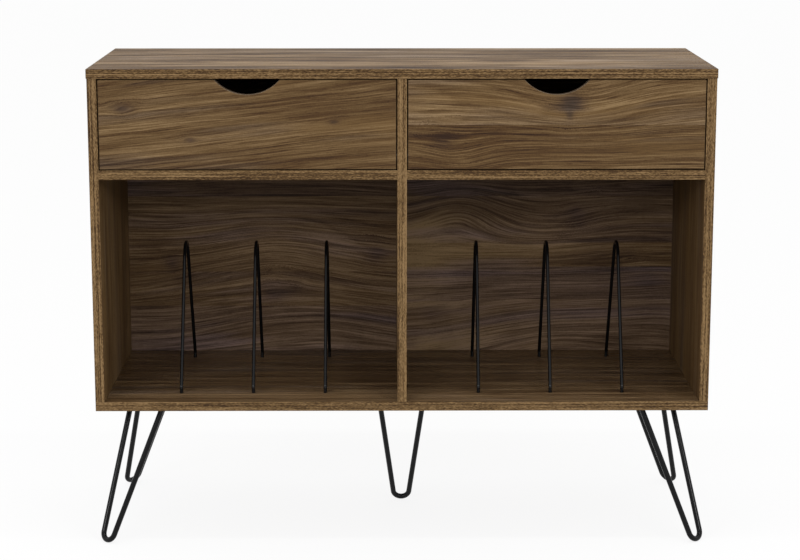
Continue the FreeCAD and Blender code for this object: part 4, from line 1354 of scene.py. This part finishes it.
@dataclass(frozen=True)
class Fittings:
    """What holds the cabinet together: screws under it, nails behind it, cams, bolts and dowels."""

    front: float = -0.1975
    stations: tuple[float, float] = (0.05, 0.342)
    underside: float = 0.239
    floor: float = 0.255
    opening: float = 0.554
    rear: float = 0.1975
    wall: float = 0.509
    half_board: float = 0.008
    plate: float = 0.004
    plate_holes: tuple[float, float] = (0.051, 0.014)
    countersink: float = 0.003
    nail_levels: tuple[float, float] = (0.247, 0.647)
    nail_inset: float = 0.004
    upright_cam: float = 0.775
    shelf_cam: float = 0.655
    cam_inset: float = 0.034

    def leg_seats(self) -> list[Seat]:
        """Four pan-head screws through each leg's plate.

        Returns:
            Their seats.
        """
        seats = []
        across, up = self.plate_holes
        for x, y, degrees in HairpinLeg.stations().values():
            turn = math.radians(degrees)
            for u, v in ((-across, -up), (-across, up), (across, -up), (across, up)):
                spot_x = x + u * math.cos(turn) - v * math.sin(turn)
                spot_y = y + u * math.sin(turn) + v * math.cos(turn)
                seats.append(((spot_x, spot_y, self.underside - self.plate), UP))
        return seats

    def carcass_seats(self) -> list[Seat]:
        """Socket screws up through the bottom, with heads let in flush."""
        spots = ((sign * (self.wall + self.half_board), self.front + y)
                 for sign in (-1.0, 0.0, 1.0) for y in self.stations)
        return [((x, y, self.underside + self.countersink), UP) for x, y in spots]

    def nail_seats(self) -> list[Seat]:
        """Flat-headed nails round the backs.

        Returns:
            Their seats.
        """
        spots = []
        for sign in (-1.0, 1.0):
            for share in (0.06, 0.28, 0.5, 0.72, 0.94):
                for x in (self.wall + self.half_board, self.nail_inset):
                    spots.append((sign * x, self.floor + share * self.opening))
            for share in (0.33, 0.67):
                x = sign * self.half_board + sign * share * (self.wall - self.half_board)
                spots += [(x, z) for z in self.nail_levels]
        return [((x, self.rear, z), TO_FRONT) for x, z in spots]

    def cams(self) -> Shell:
        """Cams at the heads of the uprights and in the shelves, each with its mouth to its bolt.

        Returns:
            The cams in place.
        """
        up = np.array(UP)
        turns = []
        places = []
        for x, way in ((-self.wall, 1.0), (self.half_board, 1.0), (self.wall, -1.0)):
            outward = np.array([way, 0.0, 0.0])
            for y in self.stations:
                turns.append(np.stack([np.cross(outward, up), -up, outward], axis=-1))
                places.append((x, self.front + y, self.upright_cam))
        for near, inward in (
            (-self.wall, 1.0), (-self.half_board, -1.0), (self.half_board, 1.0), (self.wall, -1.0)
        ):
            axis = np.array([inward, 0.0, 0.0])
            for y in self.stations:
                turns.append(np.stack([np.cross(axis, up), axis, up], axis=-1))
                places.append((near + inward * self.cam_inset, self.front + y, self.shelf_cam))
        return CamLock().shell().moved(np.array(turns), np.array(places))

    def build(self) -> None:
        """Make the fasteners, and dress the ones that stay solids."""
        plated = BareMetal("zinc_plate", (0.62, 0.61, 0.57), 0.3, 900.0).material()
        cast = BareMetal("cast_zinc", (0.47, 0.47, 0.48), 0.46, 1600.0).material()
        dark = BareMetal("black_oxide", (0.022, 0.022, 0.024), 0.38, 1100.0).material()
        beech = BeechPeg("beech_peg", (0.60, 0.41, 0.23), (0.40, 0.24, 0.12)).material()
        pan = Fastener(0.0085, 0.0026, 0.0045, 0.015, Drive.CROSS, 0.0018)
        socket = Fastener(0.0098, 0.003, 0.0063, 0.047, Drive.SOCKET, 0.003, dome=0.04)
        nail = Fastener(0.0045, 0.0007, 0.0016, 0.02, Drive.NONE, dome=0.35)
        for name, fastener, seats, slot, material in (
            ("leg_screws", pan, self.leg_seats(), "black_screws", dark),
            ("carcass_screws", socket, self.carcass_seats(), "plated_steel", plated),
            ("back_panel_nails", nail, self.nail_seats(), "plated_steel", plated),
        ):
            fastened(name, fastener.shell(), seats, "cabinet", slot, material)
        piece("cam_lock_set", self.cams(), "cabinet", "cast_zinc", ["cam_locks"], cast)
        dress("cam_bolts", plated)
        for node in ("wood_dowels", "left_drawer_dowels", "right_drawer_dowels"):
            dress(node, beech)


@dataclass(frozen=True)
class RollerSlides:
    """Four drawer slides: rolled rails, nylon rollers on riveted pins, and their screws."""

    wall: float = 0.509
    partition: float = 0.008
    axle_z: float = 0.6773
    front_axle: float = -0.167
    rear_axle: float = 0.157
    rail_front: float = -0.179
    rail_length: float = 0.348
    rail_holes: tuple[float, float, float] = (0.15, 0.5, 0.85)
    gauge: float = 0.0012
    gap: float = 0.0125
    flange_middle: float = 0.005
    flange_z: float = 0.6678
    roller_start: float = 0.0046
    roller_width: float = 0.0054
    roller_radius: float = 0.008
    roller_ease: float = 0.0005
    bore: float = 0.00255
    bore_ease: float = 0.0003
    hub: float = 0.0011
    tyre: float = 0.0016
    pockets: int = 6
    pocket_depth: float = 0.0009
    pin_radius: float = 0.0025
    pin_head: float = 0.004
    pin_ease: float = 0.0002
    pin_round: float = 0.0005
    drawer_pin: float = 0.0080
    cabinet_pin: float = 0.0101

    def roller(self) -> Shell:
        """A roller along +Z: a closed profile carried round, with pockets pressed into each face.

        A pocket's depth is a bump across the web times a wave round it, with one period a pocket.

        Returns:
            The roller.
        """
        width, ease, bore_rim = self.roller_width, self.roller_ease, self.bore + self.bore_ease
        web = np.linspace(self.bore + self.hub, self.roller_radius - self.tyre, 7)
        rim = arc((self.roller_radius - ease, ease), ease, np.radians(np.linspace(-90.0, 0.0, 6)))
        mouth = [(self.bore, self.bore_ease), (bore_rim, 0.0)]
        lower = np.concatenate([mouth, np.stack([web, np.zeros_like(web)], 1), rim])
        profile = np.concatenate([lower, lower[::-1] * np.array([1.0, -1.0]) + np.array([0.0, width])])
        reach, height = profile[:, :1], profile[:, 1:]
        angle = circle(60)
        share = np.clip((reach - web[0]) / (web[-1] - web[0]), 0.0, 1.0)
        press = self.pocket_depth * np.sin(share * math.pi) ** 0.5
        press = press * np.clip(np.cos(angle * self.pockets) * 3.0, 0.0, 1.0)
        rings = round_z(reach, angle, height + np.where(height < width / 2, 1.0, -1.0) * press)
        rows = np.arange(len(rings))
        return Shell(rings.reshape(-1, 3), (ring_quads(rows, np.roll(rows, -1), len(angle)),))

    def pin(self, length: float) -> Shell:
        """A riveted pin along +Z: a straight shank and a head with a rounded rim.

        Args:
            length: From its foot to its head.

        Returns:
            The pin.
        """
        thick, ease = self.pin_radius, self.pin_ease
        middle = (self.pin_head - self.pin_round, length + ease)
        head = arc(middle, self.pin_round, np.radians(np.linspace(0.0, 90.0, 6)))
        shank = np.array([(thick - ease, 0.0), (thick, ease), (thick, length), (self.pin_head, length)])
        return turned(np.concatenate([shank, head]), 32)

    def build(self) -> None:
        """Dress the rails, and make the rollers, pins and screws of both bays."""
        paint = PowderCoat("black_rail_paint", (0.016, 0.015, 0.015), 0.4, 0.00004, 0.4).material()
        nylon = MouldedNylon("black_nylon", (0.03, 0.03, 0.032)).material()
        steel = BareMetal("rail_screw_plate", (0.58, 0.57, 0.53), 0.32, 900.0).material()
        screw = Fastener(0.006, 0.0017, 0.0035, 0.0072, Drive.CROSS, 0.0013).shell()
        holes = [self.rail_front + share * self.rail_length for share in self.rail_holes]
        cabinet_screws: list[Seat] = []
        cabinet_pins: list[Seat] = []
        bays = {Side.LEFT: (-self.wall, -self.partition), Side.RIGHT: (self.partition, self.wall)}
        for side, walls in bays.items():
            half = side.value
            body = f"{half}_drawer"
            drawer_screws: list[Seat] = []
            drawer_pins: list[Seat] = []
            for name, wall, sign in zip(("left", "right"), walls, (1.0, -1.0)):
                inward, outward = (sign, 0.0, 0.0), (-sign, 0.0, 0.0)
                for carrier in (f"{half}_bay", body):
                    dress(f"{carrier}_rail_{name}", paint)
                for carrier, y in ((f"{half}_bay", self.front_axle), (body, self.rear_axle)):
                    node = f"{carrier}_roller_{name}"
                    seat = np.array([(wall + sign * self.roller_start, y, self.axle_z)])
                    placed = self.roller().moved(upright_turns([inward]), seat)
                    piece(f"{node}_wheel", placed, node, "black_nylon", [node], nylon)
                cabinet_pins.append(((wall, self.front_axle, self.axle_z), inward))
                drawer_pins.append(((wall + sign * self.gap, self.rear_axle, self.axle_z), outward))
                flange = wall + sign * (self.gap + self.flange_middle)
                cabinet_screws += [((wall + sign * self.gauge, y, self.axle_z), outward) for y in holes]
                drawer_screws += [((flange, y, self.flange_z), UP) for y in holes]
            fastened(f"{body}_rail_screws", screw, drawer_screws, body, "plated_steel", steel)
            pin = self.pin(self.drawer_pin)
            fastened(f"{body}_roller_pins", pin, drawer_pins, body, "plated_steel", steel)
        fastened("cabinet_rail_screws", screw, cabinet_screws, "cabinet", "plated_steel", steel)
        pin = self.pin(self.cabinet_pin)
        fastened("cabinet_roller_pins", pin, cabinet_pins, "cabinet", "plated_steel", steel)


# Studio

@dataclass(frozen=True)
class Studio:
    """A pale floor, soft light and the camera of the picture."""

    camera_place: Point = (-0.0254, -3.724, 1.167)
    pitch: float = 11.216
    yaw: float = -0.354
    lens: float = 95.497
    sensor: float = 36.0
    ambient: float = 0.86
    glow: float = 0.86
    bounce: float = 0.42
    floor_half: float = 30.0
    paper: Colour = (0.98, 0.98, 0.98)

    def floor(self) -> None:
        """A wide white floor that keeps a faint shadow."""
        half = self.floor_half
        mesh = bpy.data.meshes.new("floor")
        corners = np.array([(-half, -half, 0.0), (half, -half, 0.0), (half, half, 0.0), (-half, half, 0.0)])
        mesh.from_pydata(corners, [], [(0, 1, 2, 3)])
        tree = FinishTree("studio_floor")
        seen = tree.seen()
        pale = tree.mix(seen, (self.bounce,) * 3, self.paper)
        paper = tree.node("ShaderNodeBsdfDiffuse", None, {"Color": pale})
        glow = tree.node("ShaderNodeEmission", None, {"Color": WHITE, "Strength": 1.0})
        both = tree.node("ShaderNodeMixShader", None, {0: seen * self.glow, 1: paper, 2: glow})
        tree.node("ShaderNodeOutputMaterial", None, {"Surface": both})
        mesh.materials.append(tree.material)
        ground = shown("floor", mesh)

    def world(self) -> None:
        """A white surround: full strength where it is seen or mirrored, softer as light."""
        world = bpy.data.worlds.new("studio")
        bpy.context.scene.world = world
        tree = NodeTree(world)
        strength = self.ambient + tree.seen() * (1.0 - self.ambient)
        white = tree.node("ShaderNodeBackground", None, {"Color": WHITE, "Strength": strength})
        tree.node("ShaderNodeOutputWorld", None, {"Surface": white})

    def lamp(self, name: str, place: Point, aim: Point, size: tuple[float, float], power: float) -> None:
        """A soft box.

        Args:
            name: The lamp's name.
            place: Where it hangs.
            aim: The point that it is turned to.
            size: Its width and height.
            power: Its power in watts.
        """
        light = bpy.data.lights.new(name, "AREA")
        light.shape = "RECTANGLE"
        light.size, light.size_y = size
        light.energy = power
        made = shown(name, light)
        made.location = place
        x, y, z = np.array(aim) - np.array(place)
        made.rotation_euler = (math.atan2(math.hypot(x, y), -z), 0.0, math.atan2(y, x) - math.pi / 2)

    def camera(self) -> None:
        """The camera, where the picture was taken from."""
        lens = bpy.data.cameras.new("picture_camera")
        lens.sensor_fit = "HORIZONTAL"
        lens.sensor_width = self.sensor
        lens.lens = self.lens
        made = shown("picture_camera", lens)
        made.location = self.camera_place
        made.rotation_euler = (math.pi / 2 - math.radians(self.pitch), 0.0, math.radians(self.yaw))
        bpy.context.scene.camera = made

    def build(self) -> None:
        """Set up the floor, the light and the camera."""
        self.floor()
        self.world()
        self.lamp("overhead_box", (0.0, -0.55, 2.6), (0.0, -0.15, 0.4), (2.4, 0.1), 13.0)
        for name, x in (("left_box", -2.2), ("right_box", 2.2)):
            self.lamp(name, (x, -3.4, 1.75), (0.0, 0.0, 0.45), (1.2, 0.5), 26.0)
        self.camera()
        bpy.context.scene.view_settings.view_transform = "Standard"


def main() -> None:
    """Build the pieces in order."""
    logging.basicConfig(level=logging.INFO, format="%(message)s")
    Carcass().dress()
    left_knots = (Knot(-0.465, 0.7585, 0.012, 1.2), Knot(-0.114, 0.7365, 0.007), Knot(-0.355, 0.706, 0.005))
    right_knots = (
        Knot(0.283, 0.769, 0.022, 1.8, 0.028, 1.4, 0.5),
        Knot(0.280, 0.748, 0.013, 1.5, 0.0, 0.8, 0.3),
        Knot(0.069, 0.704, 0.021, 0.55, 0.012, 1.3, 0.3),
        Knot(0.101, 0.674, 0.009, -0.4, 0.012, 1.3, 0.4),
    )
    split = (Seam(0.7314, 0.19),)
    for side, decor in (
        (Side.LEFT, WalnutDecor(Grain.ALONG_UPRIGHT, 101.0, (), left_knots, 1.05, 0.54, tilt=0.1)),
        (Side.RIGHT, WalnutDecor(Grain.ALONG_UPRIGHT, 113.0, split, right_knots, 1.25, 0.43, tilt=0.02)),
    ):
        Drawer(side, decor).dress()
    for assembly in (WireDivider(), HairpinLeg(), Fittings(), RollerSlides(), Studio()):
        assembly.build()


if __name__ == "__main__":
    main()
